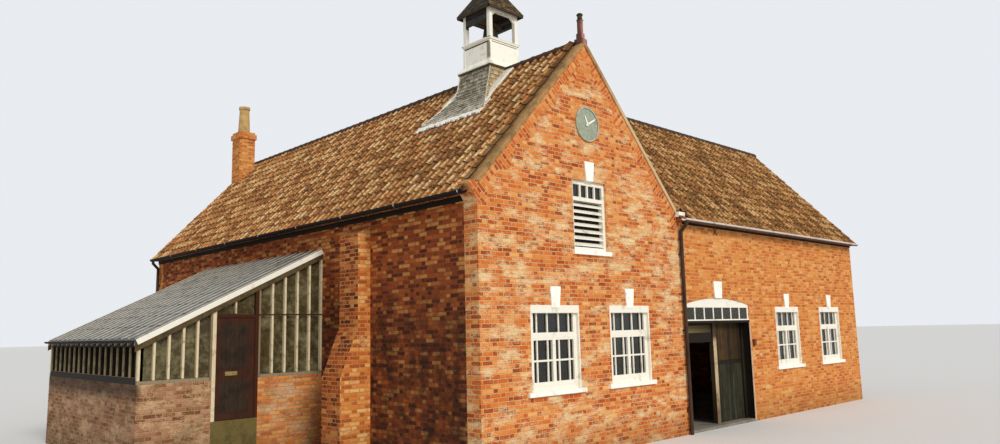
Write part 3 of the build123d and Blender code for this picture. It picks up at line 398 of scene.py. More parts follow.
# The left side has been limewashed and has lost it again, and its top is darker.
coat("garden_brick", "#2f2018", 0.75, ("X", -6.45, -6.53), ("Z", 1.1, 1.32))
print("brick materials:", sorted(MATERIALS))

# %% [markdown]
# ## Clay, stone, lead and iron
# The other finishes start from the same weathered recipe. Numbers are in millimetres: lichen grows in
# patches of a hand's width, and rust freckles are finer still.

# %% Clay and stone
# Ridge tiles: half-round clay, thrown and fired, with soot in their pores.
weathered("ridge_tile", "#2a1e15 #453023 #6b4f38", "#2c281c", 40, 400, bump=4)
# The coping: bricks and tiles in mortar. The right-hand slope has kept the pale face of its mortar.
weathered("coping", "#7d5a34 #a9804f #d0a976", "#5d5132", 45, 260, 0.6, bump=4)
coat("coping", "#e2c99c", 0.6, ("X", 0.3, 1.2))
# The finial on the gable: turned red clay, darkened on its left half with painted shade.
weathered("terracotta", "#7d4c3e #b07c68 #d6ab98", "#4a3228", 30, 110, bump=2)
coat("terracotta", "#3a211a", 0.75, ("X", 0.0, -0.05))
# The chimney pot: pale clay. Sills, keystones and kneeler: limestone that was sawn and rubbed smooth.
weathered("buff_clay", "#a88350 #c8a264 #dcbc84", "#7d6f52", 30, 200, bump=2)
weathered("white_stone", "#e4deca #fbf8ee #fffdf6", "#b0a78c", 25, 300, 0.15, bump=1.5)
# Stone floors: worn flags, and the same under moss in the glasshouse.
weathered("paving", "#6d675c #857d70 #9b9384", "#4d483e", 30, 500, bump=3)
weathered("mossy_paving", "#4a4022 #675a30 #837443", "#38301a", 30, 300, bump=4)
# Lime mortar, pushed into the joints by hand and left rough.
weathered("lime_fillet", "#d8d0bd #f0eadb #fbf8ee", "#a89f88", 30, 160, 0.15, bump=4)
# Moss and painted shade in a line under a moulding.
weathered("moss_and_shade_line", "#3b3620 #57502f #7a7148", "#2c2a16", 20, 90, bump=2, rough=(0.8, 0.95))
print(len(MATERIALS), "materials so far")

# %% [markdown]
# ## Metals
# Lead is dressed by hand with a wooden bossing stick, so its sheets are never quite flat. Painted or
# corroded metal no longer mirrors like metal, so only the bronze is metallic in its shader.

# %% Lead, iron, bronze and brass
SOFT_LEAD = dict(bump=3, rough=(0.5, 0.8))
# Cast iron gutters painted black, and the downpipe, brown with rust under old paint.
weathered("black_iron", "#0d0a08 #181310 #2a201a", "#2c1a10", 12, 300, 0.2, bump=0.6)
weathered("pipe_iron", "#2b1e14 #453021 #624735", "#241810", 15, 500, bump=0.8, rough=(0.4, 0.8))
# The wing's gutter: cast iron, painted pale. Its lower part is darkened with painted shade.
weathered("gutter_paint", "#c3b0a4 #dccdc2 #ede2d8", "#8d7a6a", 20, 350, 0.25, bump=0.6, rough=(0.4, 0.7))
coat("gutter_paint", "#1d1610", 0.9, ("Z", 4.556, 4.546))
# Sheet lead: painted white, the same with a brown edge that was never painted, and bare.
weathered("lead", "#c6c0b2 #e0dacb #f2ecdf", "#a39c8a", 25, 200, 0.3, **SOFT_LEAD)
weathered("apron_lead", "#c6c0b2 #e0dacb #f2ecdf", "#a39c8a", 25, 200, 0.3, **SOFT_LEAD)
coat("apron_lead", "#6d4c2b", 0.95, ("X", 0.0, 1.25, 1.27))
weathered("dark_lead", "#2b2419 #3f3524 #5a4d35", "#211c12", 25, 200, 0.3, **SOFT_LEAD)
# The dial and its rim: sheet metal with the grey-green skin of a century outdoors.
weathered("dial_lead", "#8f9280 #b3b39c #d0cbb2", "#80795c", 40, 110, rough=(0.5, 0.75))
weathered("verdigris", "#76857a #9aa591 #bcbca2", "#8f8465", 40, 110, 0.6, rough=(0.5, 0.75))
# The bell: cast bronze, dark all over. Wrought iron, rusted through its paint. Brass, rubbed by hands.
weathered("bronze", "#1d1812 #33281b #4d3d28", "#25332b", 20, 120, rough=(0.4, 0.65), metal=0.9)
weathered("rust", "#4a2a18 #7a4524 #a0683c", "#2c1f18", 10, 60, bump=1.5)
weathered("worn_brass", "#6b5c34 #93824f #b8a873", "#4a3f24", 8, 60, 0.4, bump=0.3, rough=(0.4, 0.6))
# Paint on metal: the dial's marks, chalky with age, and the hands, which were painted last.
weathered("faded_paint", "#8f9a86 #b0b6a0 #c6c8b2", "#8c8f74", 12, 60, bump=0.4)
weathered("hand_paint", "#e2ddcc #f4f0e4 #fffdf4", "#b8b09a", 12, 90, 0.1, bump=0.4, rough=(0.35, 0.6))
print(len(MATERIALS), "materials so far")

# %% [markdown]
# ## Painted and bare wood
# Sawn and planed oak or pine, brushed with oil paint where its name says paint. The grain runs up, so the
# noise is drawn out along Z. Old paint goes chalky, and bare wood goes brown and then nearly black.

# %% Painted and bare wood
GRAIN = (1, 1, 0.08)
WORN = (0.6, 0.9)
for name, tones, dirt, patch, bump, rough, cover in (
        # Fresh white paint on the windows, and on the boards and posts of the turret.
        ("white_paint", "#dcd6c4 #f0ebdb #faf6ea", "#b3a98e", 260, 0.8, (0.4, 0.7), 0.12),
        ("turret_paint", "#ede7d2 #fcf8e8 #fffef6", "#c9c3a6", 180, 0.6, (0.5, 0.8), 0.1),
        ("post_paint", "#e2dcc6 #f6f1e0 #fffbee", "#b9b393", 180, 1.0, (0.5, 0.8), 0.12),
        # Old cream paint on the glasshouse, on the frame of the coach doorway and on its edge.
        ("aged_paint", "#857a62 #b0a588 #cfc5aa", "#6c6048", 220, 1.2, WORN, 0.5),
        ("cap_paint", "#a0967e #cdc3a8 #e8dfc8", "#6c6048", 220, 1.2, WORN, 0.45),
        ("bar_paint", "#b5a07c #d8c7a2 #ece0c2", "#7d6b48", 160, 1.2, WORN, 0.35),
        ("side_bar_paint", "#55472f #8a7b5c #cbbf9f", "#3d301c", 160, 1.2, WORN, 0.55),
        ("frame_paint", "#93805c #bda680 #d8c6a2", "#6b5340", 220, 1.2, WORN, 0.4),
        ("edge_paint", "#a8846a #cba88a #e0c8ae", "#7a5b46", 150, 1.0, WORN, 0.4),
        # Dark paint on the coach doors and on the glasshouse door.
        ("door_paint", "#2c2219 #4a3a2a #6a563f", "#2a3327", 260, 1.2, (0.5, 0.85), 0.6),
        ("red_paint", "#261209 #3c1e0e #55301d", "#22150c", 200, 1.0, (0.5, 0.8), 0.4),
        # Boards and rails that have lost their paint, and nearly black wood that stands in for shade.
        ("brown_boards", "#2b1d0e #4a3418 #684c28", "#1a130c", 260, 1.4, WORN, 0.4),
        ("leaf_boards", "#1d140d #32251a #54432f", "#17110b", 200, 1.2, WORN, 0.5),
        ("bare_rail", "#3a2f1c #57482c #776541", "#2c2416", 200, 1.2, (0.7, 0.95), 0.4),
        ("dark_wood", "#0f0a05 #1b130a #2e2112", "#120e08", 200, 1.2, WORN, 0.4)):
    weathered(name, tones, dirt, 14, patch, cover, stretch=GRAIN, bump=bump, rough=rough)
# Oak of the bell's headstock, whose grain runs along X, and floor boards, whose grain runs along Y.
weathered("oak", "#3b2b1d #5a4430 #7b6248", "#33302a", 10, 160, stretch=(0.08, 1, 1), bump=1.5)
weathered("boards", "#6b5038 #8a6a4a #a5855f", "#4a3a2a", 12, 300, stretch=(1, 0.08, 1), bump=1.5)
# Oak boards that stand in the wet go green with algae, in runs that follow the grain.
tree, place = weathered("green_boards", "#17140a #2e2a1a #5c5a44", "#17140b", 30, 240,
                        stretch=(1, 1, 0.06), bump=1.4, rough=(0.6, 0.95))
runs = add(tree, "TexNoise", add(tree, "Mapping", place, Scale=(7, 7, 0.7)), 1.0, 6, 0.7)
coat("green_boards", "#4b614b", 0.7, (runs, 0.55, 0.70))
coat("green_boards", "#0c0a05", 0.75, ("tone", 0.2, 1.0))
# Each board has a tone of its own, and the reveal keeps the sun off those near the hinges.
coat("brown_boards", "#110c06", 0.7, ("tone", 0.2, 1.0))
coat("brown_boards", "#110c06", 0.65, ("X", 4.95, 5.7))
print(len(MATERIALS), "materials so far")

# %% [markdown]
# ## Moss, wear and painted shade on the turret and the doorway
# Moss grows along the foot of the turret's shaded side, and moss and painted shade grey its near
# corner. Under the turret's roof the beams are darkened with painted shade, all but the front of the
# head beam. In the doorway the paint has lasted on the middle post, and painted shade darkens the side posts.

# %% Coats on the turret and the doorway
SHADED_SIDE = ("X", -0.425, -0.44)
# Moss and painted shade grey the near corner of the shaded side.
coat("turret_paint", "#857e68", 0.92, SHADED_SIDE, ("Y", 2.18, 2.15), ("Z", 8.09, 8.16))
tree = MATERIALS["turret_paint"].node_tree
cloud = add(tree, "TexNoise", tree.nodes["Texture Coordinate"].outputs["Object"], 5.0, 6, 0.65)
coat("turret_paint", "#6f6c3c", 0.35, SHADED_SIDE, ("Z", 8.26, 8.05), (cloud, 0.46, 0.6))
TURRET_Y = 2.505
BEAM_FOOT = ("Z", 8.985, 8.995)
# Under the turret's roof the beams are darkened with painted shade, all but the front of the head beam.
coat("post_paint", "#1d160e", 0.96, ("X", 0.0, 0.346, 0.345), ("Y", 2.15, 2.16), BEAM_FOOT)
coat("post_paint", "#1d160e", 0.96, ("X", 0.0, 0.345, 0.346), ("Y", TURRET_Y, 0.346, 0.345), BEAM_FOOT)
# Rain splashes the feet of the frame, and the reveal shades its head and its left half.
coat("frame_paint", "#4c3520", 0.75, ("Z", 1.0, 0.3))
coat("frame_paint", "#33251a", 0.92, ("Z", 1.88, 2.02))
coat("frame_paint", "#241a0f", 0.9, ("X", 4.487, 4.482))
# The board over the left leaf is paler, and grows darker towards the middle of the doorway.
coat("frame_paint", "#84744c", 0.9, ("X", 4.478, 4.474))
coat("frame_paint", "#2c2012", 0.8, ("X", 3.3, 4.4), ("X", 4.478, 4.474))
# The side posts are darkened with painted shade.
coat("frame_paint", "#100c08", 0.97, ("X", 4.15, 0.960, 0.961))

# %% [markdown]
# ## The paint of the glasshouse, its wear and its painted shade
# The glasshouse was painted cream, with a dark red door. In the gaps between the side's bars the dark
# is painted shade. Along the rails of the side and on the door's own posts the wood is dark.

# %% Coats on the glasshouse
DOOR_X = -4.77
IN_FRONT = ("Y", 4.80, 4.79)
# Two slim studs beside the door posts, then the right door post and the door head.
coat("bar_paint", "#5b4a30", 0.8, ("X", DOOR_X, 0.503, 0.502), ("X", DOOR_X, 0.455, 0.456), IN_FRONT)
coat("bar_paint", "#3c1d0e", 1.0, ("X", -4.352, 0.038, 0.037), IN_FRONT)
coat("bar_paint", "#3c1d0e", 1.0, ("X", DOOR_X, 0.386, 0.385), ("Z", 2.72, 2.70), IN_FRONT)
# The rails that the bars stand on lie in the wet, and have lost their paint.
coat("bar_paint", "#5b4a30", 0.7, ("Z", 1.556, 1.548), ("Z", 1.44, 1.47), ("X", DOOR_X, 0.490, 0.491))
# Behind the outer face of the side's bars the wood is darkened with painted shade.
coat("side_bar_paint", "#1f170e", 1.0, ("X", -6.512, -6.508))
coat("side_bar_paint", "#1f170e", 1.0, ("Z", 1.86, 0.262, 0.263))

# %% [markdown]
# ## Clay pantiles, one colour each
# A pantile roof is a patchwork: each tile was fired a little differently and has weathered in its own
# way. The tile's own random number, stored on its mesh, picks the clay colour. Grey lichen freckles the
# rolls, and the hollows between them, where the water runs, are dark with moss. A second number on the
# mesh says how much moss and painted shade lies at a point, in the trough and under the next tile's lip.

# %% Roof materials
def covering(name, tones, lichen, lichen_from, moss, moss_from, hollow, patches=()):
    """Tiles or slates with a tone of their own, freckled with lichen, dark with moss in their hollows and
    with painted shade under their laps.
    patches are clouds of another colour, each as its size in mm, where it starts and the colour."""
    tree, shader, place = grained(name, 12, bump=2.5, rough=(0.75, 0.95), shine=0.25)[:3]
    own = add(tree, "Attribute", attribute_name="tone").outputs["Fac"]
    deep = add(tree, "Attribute", attribute_name="hollow").outputs["Fac"]
    # The tone at a point is its tile's own tone, moved by the grit.
    grit = add(tree, "TexNoise", place, 21.0, 4, 0.68)
    pick = add(tree, "MULTIPLY_ADD", grit, 3.6, -1.66)
    pick = add(tree, "MULTIPLY_ADD", own, 0.78, pick, use_clamp=True)
    base = add(tree, "ValToRGB", pick, stops=tones)
    low = add(tree, "MULTIPLY_ADD", grit, 1.3, deep)
    # Each cloud is a scale, a detail, a roughness, a start, an end, its most and its colour. The hollows,
    # with the painted shade under the laps, come in the same way, from their number in place of a noise.
    clouds = [(1000 / size, 7, 0.7, begin, begin + 0.12, 0.5, code) for size, begin, code in patches]
    clouds += [(14.0, 9, 0.75, lichen_from, lichen_from + 0.16, 0.9, lichen)]
    clouds += [(None, 0, 0, 0.75, 1.7, hollow, moss)]
    clouds += [(1.1, 8, 0.7, moss_from, moss_from + 0.18, 0.8, moss)]
    for scale, detail, rough, begin, end, most, code in clouds:
        cloud = add(tree, "TexNoise", place, scale, detail, rough) if scale else low
        share = add(tree, "MapRange", cloud, begin, end, 0, most)
        base = add(tree, "Mix", share, base, code, data_type="RGBA", into=shader.inputs["Base Color"])
    return tree, place


# Clay pantiles, thrown off a mould and fired orange, gone brown and grey with a century of weather.
WARM = [(0, "#583315"), (0.2, "#8a5429"), (0.45, "#ae6f38"), (0.7, "#c98c4b"),
        (0.88, "#dba96b"), (1, "#f0d09c")]
MOSSY = [(0, "#4e3118"), (0.25, "#7a4c26"), (0.5, "#9e6934"), (0.75, "#ba864a"), (1, "#dcb078")]
covering("pantile", WARM, "#e0c592", 0.55, "#4a3317", 0.66, 0.8,
         patches=((700, 0.52, "#c9743a"), (450, 0.55, "#8f7c3c")))
covering("mossy_pantile", MOSSY, "#cfae70", 0.57, "#403012", 0.6, 0.75,
         patches=((600, 0.53, "#b9703a"), (500, 0.54, "#80702f")))
# Riven slate from a quarry: grey, slightly silky, and yellow where lichen sits on it. The greyer copy is
# painted shade, for the skirt's left side. Rain has washed lime down from the pointing, and whitened the
# lowest courses.
SILVER = [(0, "#5f594a"), (0.35, "#8b8472"), (0.7, "#aea58f"), (1, "#d2c8b0")]
STRAW = [(0, "#94805c"), (0.4, "#b7a07a"), (0.7, "#c9b48e"), (1, "#ddcca8")]
for name, tones, moss in (("slate", SILVER, "#5f563e"), ("warm_slate", STRAW, "#7a6440")):
    tree, place = covering(name, tones, "#d6cbad", 0.57, moss, 0.6, 0.6)
    patchy = add(tree, "TexNoise", place, 7.0, 6, 0.7)
    coat(name, "#ddd3bf", 0.85, ("Z", 7.15, 6.72), (patchy, 0.38, 0.56))
# Plain clay tiles on the little roof, nearly black on the faces that look left, as painted shade.
SMOKED = [(0, "#2a2013"), (0.4, "#4b3b23"), (0.7, "#67522f"), (1, "#8d7344")]
tree, place = covering("turret_tile", SMOKED, "#8d7a4e", 0.6, "#272110", 0.58, 0.3)
facing = add(tree, "SeparateXYZ", tree.nodes["Texture Coordinate"].outputs["Normal"]).outputs["X"]
coat("turret_tile", "#23211d", 0.72, (facing, -0.3, -0.5))
print(len(MATERIALS), "materials so far")

# %% [markdown]
# ## Old glass
# Window glass is clear and slightly green, with an IOR of 1.5, but a window of an unlit room looks dark
# with a soft image of the sky. Glasshouse glass has years of dust and algae on it, so a thin cloudy
# coat is mixed over the clear pane.

# %% Glass materials
def glazing(name, tint, film, film_low, film_high, patch, mirror):
    """Clear glass under a patchy film of dirt. What it mirrors of the bright room is kept weak."""
    tree, pane, place = start(name)
    for socket, value in (("Transmission Weight", 1.0), ("IOR", 1.5), ("Roughness", 0.04),
                          ("Base Color", linear(tint)), ("Specular IOR Level", mirror)):
        pane.inputs[socket].default_value = value
    cloud = add(tree, "TexNoise", place, 1000 / patch, 6, 0.6)
    ripple = add(tree, "TexNoise", place, 5.0, 1)
    add(tree, "Bump", Height=ripple, Distance=0.004, Strength=0.4, into=pane.inputs["Normal"])
    # The film is two kinds of dirt: dry dust, and algae where the pane stays wet.
    blot = add(tree, "TexNoise", place, 1600 / patch, 8, 0.72)
    dirt = add(tree, "ValToRGB", blot, stops=film)
    dust = add(tree, "BsdfPrincipled", Base_Color=dirt, Roughness=0.35, Specular_IOR_Level=mirror)
    much = add(tree, "MapRange", cloud, 0.3, 0.7, film_low, film_high)
    add(tree, "MixShader", much, pane, dust, into=tree.nodes["Material Output"].inputs["Surface"])


# Blown and cut window glass, then the panes over the coach doors, under dust that nobody can reach.
glazing("clear_glass", "#7d837c", "#3c3c32 #5c5c4e", 0.0, 0.16, 170, 0.1)
glazing("dusky_glass", "#8f8c7c", "#241f14 #47412f", 0.25, 0.95, 60, 0.15)
# Glasshouse panes: green with algae, in the shade of the side, and grey and dusty on the roof.
ALGAE = [(0, "#2c2514"), (0.45, "#4c4128"), (0.58, "#736a4b"), (1, "#d6cda8")]
glazing("green_glass", "#9a9878", ALGAE, 0.62, 0.98, 300, 0.15)
glazing("shady_glass", "#4a4638", "#0e0a05 #1a130a #40341f", 0.8, 0.99, 200, 0.08)
glazing("roof_glass", "#c9d0d0", "#41454a #5f646a #84898d", 0.8, 0.97, 250, 0.1)
print(len(MATERIALS), "materials in all")

# %% [markdown]
# ## Finishes for the solid parts
# The imported record says which finish each solid takes. The left wall and the sides of the buttress
# get darker brick as painted shade, and the gable and the glasshouse roof get a variant of their own.

# %% Dress the solid nodes
special = {
    "front_gable_wall": "gable_brick", "left_side_wall": "shaded_brick", "buttress": "buttress_brick",
    "wing_roof_front": "mossy_pantile", "wing_roof_rear": "mossy_pantile", "downpipe": "pipe_iron",
    "turret_stage": "turret_paint", "turret_posts": "post_paint", "turret_apron": "apron_lead",
    "glasshouse_end_frames": "bar_paint", "glasshouse_side_frame": "side_bar_paint",
    "glasshouse_bargeboards": "bare_rail", "glasshouse_floor": "mossy_paving",
    "glasshouse_roof_glass": "roof_glass",
}
for part in frame["record"]["subparts"]:
    mesh = nodes[part["node"]].data
    mesh.materials.clear()
    mesh.materials.append(MATERIALS[special.get(part["node"], part["material_slot"])])
print("dressed", len(nodes), "nodes")

# %% [markdown]
# ## Making pieces
# Small parts are drawn in mesh code. `beam` adds a bar between two points with a width and a depth,
# `block` fills a box, and `keep_piece` turns a finished mesh into an object that rides on a body.

# %% Helpers for pieces
def as_mesh(shape, name, outwards=True):
    """Ends a shape in the making as a mesh, with its faces turned outwards unless they are already."""
    if outwards:
        bmesh.ops.recalc_face_normals(shape, faces=shape.faces)
    mesh = bpy.data.meshes.new(name)
    shape.to_mesh(mesh)
    shape.free()
    return mesh


def keep_piece(name, mesh, finish, body="house", bevel=0.0):
    """Makes a mesh an object with a finish and the body that it rides on."""
    if isinstance(mesh, bmesh.types.BMesh):
        mesh = as_mesh(mesh, name)
    mesh.materials.clear()
    mesh.materials.append(MATERIALS[finish])
    made = in_scene(name, mesh)
    if bevel:
        rounded = made.modifiers.new("bevel", "BEVEL")
        rounded.width, rounded.segments, rounded.limit_method = bevel, 1, "ANGLE"
    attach(made, body)
    print(f"{name}: {len(mesh.polygons)} faces")
    return made


def vertices(shape, rows):
    """Adds rows of points to a shape as rows of vertices."""
    return [[shape.verts.new(point) for point in row] for row in rows]


def skin(shape, rows, around=False):
    """Faces between each row of vertices and the next, and round to the start of a row if asked."""
    for low, high in zip(rows, rows[1:]):
        for i in range(len(low) if around else len(low) - 1):
            j = (i + 1) % len(low)
            shape.faces.new((low[i], low[j], high[j], high[i]))


def prism(shape, rings):
    """A closed bar between two rings of points."""
    rings = vertices(shape, rings)
    skin(shape, rings, True)
    shape.faces.new(rings[0][::-1])
    shape.faces.new(rings[1])


def beam(shape, start, end, width, depth):
    """A bar from start to end, with its half width and half depth given as vectors."""
    width, depth = Vector(width), Vector(depth)
    corners = [width * a + depth * b for a, b in ((-1, -1), (1, -1), (1, 1), (-1, 1))]
    prism(shape, [[Vector(point) + corner for corner in corners] for point in (start, end)])


def upright(shape, spot, low, high, width, depth):
    """A beam that stands over a spot, from one level to another."""
    beam(shape, spot + UP * low, spot + UP * high, width, depth)


def block(shape, low, high):
    """A bar that fills the box between two corners."""
    low, high = Vector(low), Vector(high)
    mid, half = (low + high) / 2, (high - low) / 2
    upright(shape, Vector((mid.x, mid.y, 0)), low.z, high.z, (half.x, 0, 0), (0, half.y, 0))


def keep_blocks(name, boxes, finish, body="house", bevel=0.0):
    """Makes one piece of boxes, each given by two corners."""
    shape = bmesh.new()
    for low, high in boxes:
        block(shape, low, high)
    keep_piece(name, shape, finish, body, bevel)


def round_points(radius, count, first=0.0, step=None):
    """Points of a circle as pairs: all round, or a step in degrees apart."""
    angles = [math.radians(first + (step or 360 / count) * i) for i in range(count)]
    return [(radius * math.cos(angle), radius * math.sin(angle)) for angle in angles]


# %% [markdown]
# ## Two small trees of Geometry Nodes
# What repeats is laid by Geometry Nodes. Both trees copy a form to points, store a random tone on each
# copy, make the copies real and give them their finish. One makes its points as a grid, with named
# inputs for how many columns and courses there are and how far apart. The other takes points that are
# known one by one, and reads each point's turn. A fixed seed makes every run the same.

# %% The trees
def new_tree(name, **kinds):
    """An empty tree with named inputs, the identifiers of those inputs, and its input sockets."""
    tree = bpy.data.node_groups.new(name, "GeometryNodeTree")
    face, marks = tree.interface, {}
    for word, kind in kinds.items():
        marks[word] = face.new_socket(name=word, in_out="INPUT", socket_type="NodeSocket" + kind).identifier
    face.new_socket(name="Geometry", in_out="OUTPUT", socket_type="NodeSocketGeometry")
    return tree, marks, add(tree, "NodeGroupInput").outputs


def stray(tree, most, seed):
    """A random vector for each point, between less the most and the most."""
    least = add(tree, "VectorMath", most, -1.0, operation="SCALE")
    return add(tree, "FunctionNodeRandomValue", least, most, Seed=seed, data_type="FLOAT_VECTOR")


def copy_form(tree, given, points, turn):
    """The end of both trees: copies at the points, with tones, made real and dressed."""
    form = add(tree, "GeometryNodeObjectInfo", Object=given["Form"]).outputs["Geometry"]
    copies = add(tree, "GeometryNodeInstanceOnPoints", Points=points, Instance=form, Rotation=turn)
    tone = add(tree, "FunctionNodeRandomValue", Seed=given["Seed"], data_type="FLOAT")
    told = add(tree, "GeometryNodeStoreNamedAttribute", copies, None, "tone", tone,
               data_type="FLOAT", domain="INSTANCE")
    real = add(tree, "GeometryNodeRealizeInstances", told)
    dressed = add(tree, "GeometryNodeSetMaterial", Geometry=real, Material=given["Finish"])
    add(tree, "NodeGroupOutput", dressed)


courses, course_marks, given = new_tree(
    "courses", Columns="Int", Courses="Int", Cover="Float", Gauge="Float",
    Shift="Vector", Turn="Vector", Seed="Int", Form="Object", Finish="Material")
wide = add(courses, "ADD", given["Columns"], -1.0)
wide = add(courses, "MULTIPLY", wide, given["Cover"])
tall = add(courses, "ADD", given["Courses"], -1.0)
tall = add(courses, "MULTIPLY", tall, given["Gauge"])
grid = add(courses, "GeometryNodeMeshGrid", wide, tall, given["Columns"], given["Courses"])
# The grid lies round the origin, so half its size brings its first point there.
half = add(courses, "VectorMath", add(courses, "CombineXYZ", wide, tall), 0.5, operation="SCALE")
move = add(courses, "VectorMath", half, stray(courses, given["Shift"], given["Seed"]), operation="ADD")
moved = add(courses, "GeometryNodeSetPosition", Geometry=grid, Offset=move)
other = add(courses, "ADD", given["Seed"], 7.0)
copy_form(courses, given, moved, stray(courses, given["Turn"], other))

placing, place_marks, given = new_tree(
    "places", Points="Geometry", Form="Object", Finish="Material", Sway="Vector", Seed="Int")
angle = add(placing, "GeometryNodeInputNamedAttribute", Name="angle", data_type="FLOAT").outputs["Attribute"]
turn = add(placing, "CombineXYZ", None, None, angle)
turn = add(placing, "VectorMath", turn, stray(placing, given["Sway"], given["Seed"]), operation="ADD")
copy_form(placing, given, given["Points"], turn)
print("trees with", len(courses.nodes), "and", len(placing.nodes), "nodes")

# %% [markdown]
# ## Running the trees
# A tree runs as a modifier on a helper object. Its result is taken over as a plain mesh, and the helper
# goes, so nothing is left that has to be worked out again.

# %% Running the trees
def run_tree(holder, tree, marks, **values):
    """What a tree makes on a helper object, as a plain mesh."""
    modifier = holder.modifiers.new(tree.name, "NODES")
    modifier.node_group = tree
    for name, value in values.items():
        modifier[marks[name]] = value
    bpy.context.view_layer.update()
    plain = bpy.data.meshes.new_from_object(holder.evaluated_get(bpy.context.evaluated_depsgraph_get()))
    bpy.data.objects.remove(holder)
    return plain


def repeat(form, columns, rows, cover, gauge, finish, shift, turn, seed):
    """A form in columns and courses, flat on the ground with its first copy at the origin."""
    holder = in_scene("courses", bpy.data.meshes.new("courses"))
    return run_tree(holder, courses, course_marks, Columns=columns, Courses=rows, Cover=cover, Gauge=gauge,
                    Shift=shift, Turn=turn, Seed=seed, Form=form, Finish=MATERIALS[finish])


def copies_at(shape, places, finish, sway=(0, 0, 0), seed=1):
    """A shape copied to places (x, y, z, angle in degrees), as one plain mesh."""
    form = in_scene("form", as_mesh(shape, "form"))
    spots = bpy.data.meshes.new("spots")
    spots.from_pydata([place[:3] for place in places], [], [])
    angles = spots.attributes.new("angle", "FLOAT", "POINT").data
    angles.foreach_set("value", [math.radians(place[3]) for place in places])
    holder = in_scene("spots", spots)
    plain = run_tree(holder, placing, place_marks, Form=form, Finish=MATERIALS[finish], Sway=sway, Seed=seed)
    bpy.data.objects.remove(form)
    return plain


# %% [markdown]
# ## A pantile
# A pantile is an S in section: a round roll that laps over the next tile's edge, and a wide trough that
# carries the water. One tile is drawn as a mesh of a few dozen faces, with a number at each point that
# says how much moss, dirt and painted shade lies there.

# %% The tile
ROLL = [(0.000, 0.016), (0.010, 0.037), (0.028, 0.052), (0.050, 0.052), (0.068, 0.037), (0.082, 0.016),
        (0.108, 0.002), (0.152, 0.000), (0.196, 0.005), (0.228, 0.021)]
HOLLOW = [0.35, 0.0, 0.0, 0.0, 0.25, 1.0, 1.0, 0.85, 0.8, 0.6]
LAP, TILE_THICK, TILE_LIFT = 0.03, 0.018, 0.020


def tile_form(length):
    """One tile: its section along X, its length along Y, thick at the lower end and lifted there."""
    mesh = bpy.data.meshes.new("tile_form")
    count = len(ROLL)
    points, deep = [], []
    # The top runs up in four strips. Moss and painted shade lie in the last of them, against the lip
    # of the next tile.
    for y, dirt in ((0, 0.0), (length - LAP - 0.075, 0.0), (length - LAP - 0.03, 0.9), (length, 1.6)):
        points += [(x, y, z + TILE_LIFT * (1 - y / length)) for x, z in ROLL]
        deep += [value + dirt for value in HOLLOW]
    points += [(x, 0, z + TILE_LIFT) for x, z in ROLL]
    points += [(x, 0.012, z + TILE_LIFT - TILE_THICK) for x, z in ROLL]
    deep += [0.8] * count + [1.6] * count
    faces = []
    for low, high in ((0, 1), (1, 2), (2, 3), (5, 4)):
        low, high = low * count, high * count
        faces += [(low + i, low + i + 1, high + i + 1, high + i) for i in range(count - 1)]
    mesh.from_pydata(points, [], faces)
    mesh.attributes.new("hollow", "FLOAT", "POINT").data.foreach_set("value", deep)
    mesh.polygons.foreach_set("use_smooth", [i < 3 * (count - 1) for i in range(len(faces))])
    return in_scene("tile_form", mesh)


print("the tile's section has", len(ROLL), "points over", round(1000 * ROLL[-1][0]), "mm")

# %% [markdown]
# ## Laying the roofs
# Each slope is a plane from the eaves to the ridge. The flat sheet of tiles is turned onto the plane,
# and cut where the wing's roof meets the main roof, along the two valleys, and round the lead apron.

# %% Tile the slopes
PITCH = math.radians(47)
SLOPE, COSINE, SINE = math.tan(PITCH), math.cos(PITCH), math.sin(PITCH)
RIDGE, WING_Y, ROWS = 7.9066, 2.755, 15
# A pantile covers about this much of the eaves.
COVER = 0.222
# The eaves lie 3.075 m out from the ridge, and the lowest tiles hang 50 mm over them.
edge = 3.075 + 0.05
low_z = RIDGE - SLOPE * edge
GAUGE = edge / COSINE / ROWS
TURRET = Vector((0, TURRET_Y, 0))
# The outline of the apron as pairs of X and half its length along Y.
APRON = [(0, 0.785), (0.535, 0.785), (0.777, 0.82), (0.969, 0.873), (1.111, 0.949), (1.217, 0.98),
         (1.33, 0.98)]
APRON_CUTS = [((side * 1.33, 0, 0), (1, 0, 0)) for side in (-1, 1)]
APRON_CUTS += [((0, TURRET_Y + side * 0.79, 0), (0, 1, 0)) for side in (-1, 1)]
VALLEYS = [((0, WING_Y, 0), (side, 1, 0)) for side in (1, -1)]


def lay(mesh, foot, uphill, normal):
    """Turns a flat mesh so that its Y goes uphill from the foot and its Z stands on the slope."""
    uphill, normal = Vector(uphill), Vector(normal)
    across = uphill.cross(normal)
    mesh.transform(Matrix.Translation(foot) @ Matrix((across, uphill, normal)).transposed().to_4x4())


def trim(mesh, cuts, wanted):
    """Cuts a mesh along planes and keeps the faces whose middle is wanted."""
    shape = bmesh.new()
    shape.from_mesh(mesh)
    for point, normal in cuts:
        whole = shape.verts[:] + shape.edges[:] + shape.faces[:]
        bmesh.ops.bisect_plane(shape, geom=whole, plane_co=point, plane_no=normal)
    gone = [face for face in shape.faces if not wanted(*face.calc_center_median())]
    bmesh.ops.delete(shape, geom=gone, context="FACES")
    shape.to_mesh(mesh)
    shape.free()


def under_apron(x, y):
    """Whether a point of the roof lies under the lead apron of the turret."""
    out, along = abs(x), abs(y - TURRET_Y)
    return any(a <= out < b and along < wide for (a, wide), (b, _) in zip(APRON, APRON[1:]))


def tile_slope(name, foot, uphill, normal, length, finish, cuts, wanted, seed):
    """Covers one slope with pantiles and keeps it as a piece."""
    columns = round(length / COVER)
    sheet = repeat(pantile, columns, ROWS, length / columns, GAUGE, finish,
                   (0.004, 0.010, 0.003), (0.010, 0.016, 0.012), seed)
    lay(sheet, foot, uphill, normal)
    trim(sheet, cuts, wanted)
    keep_piece(name, sheet, finish)


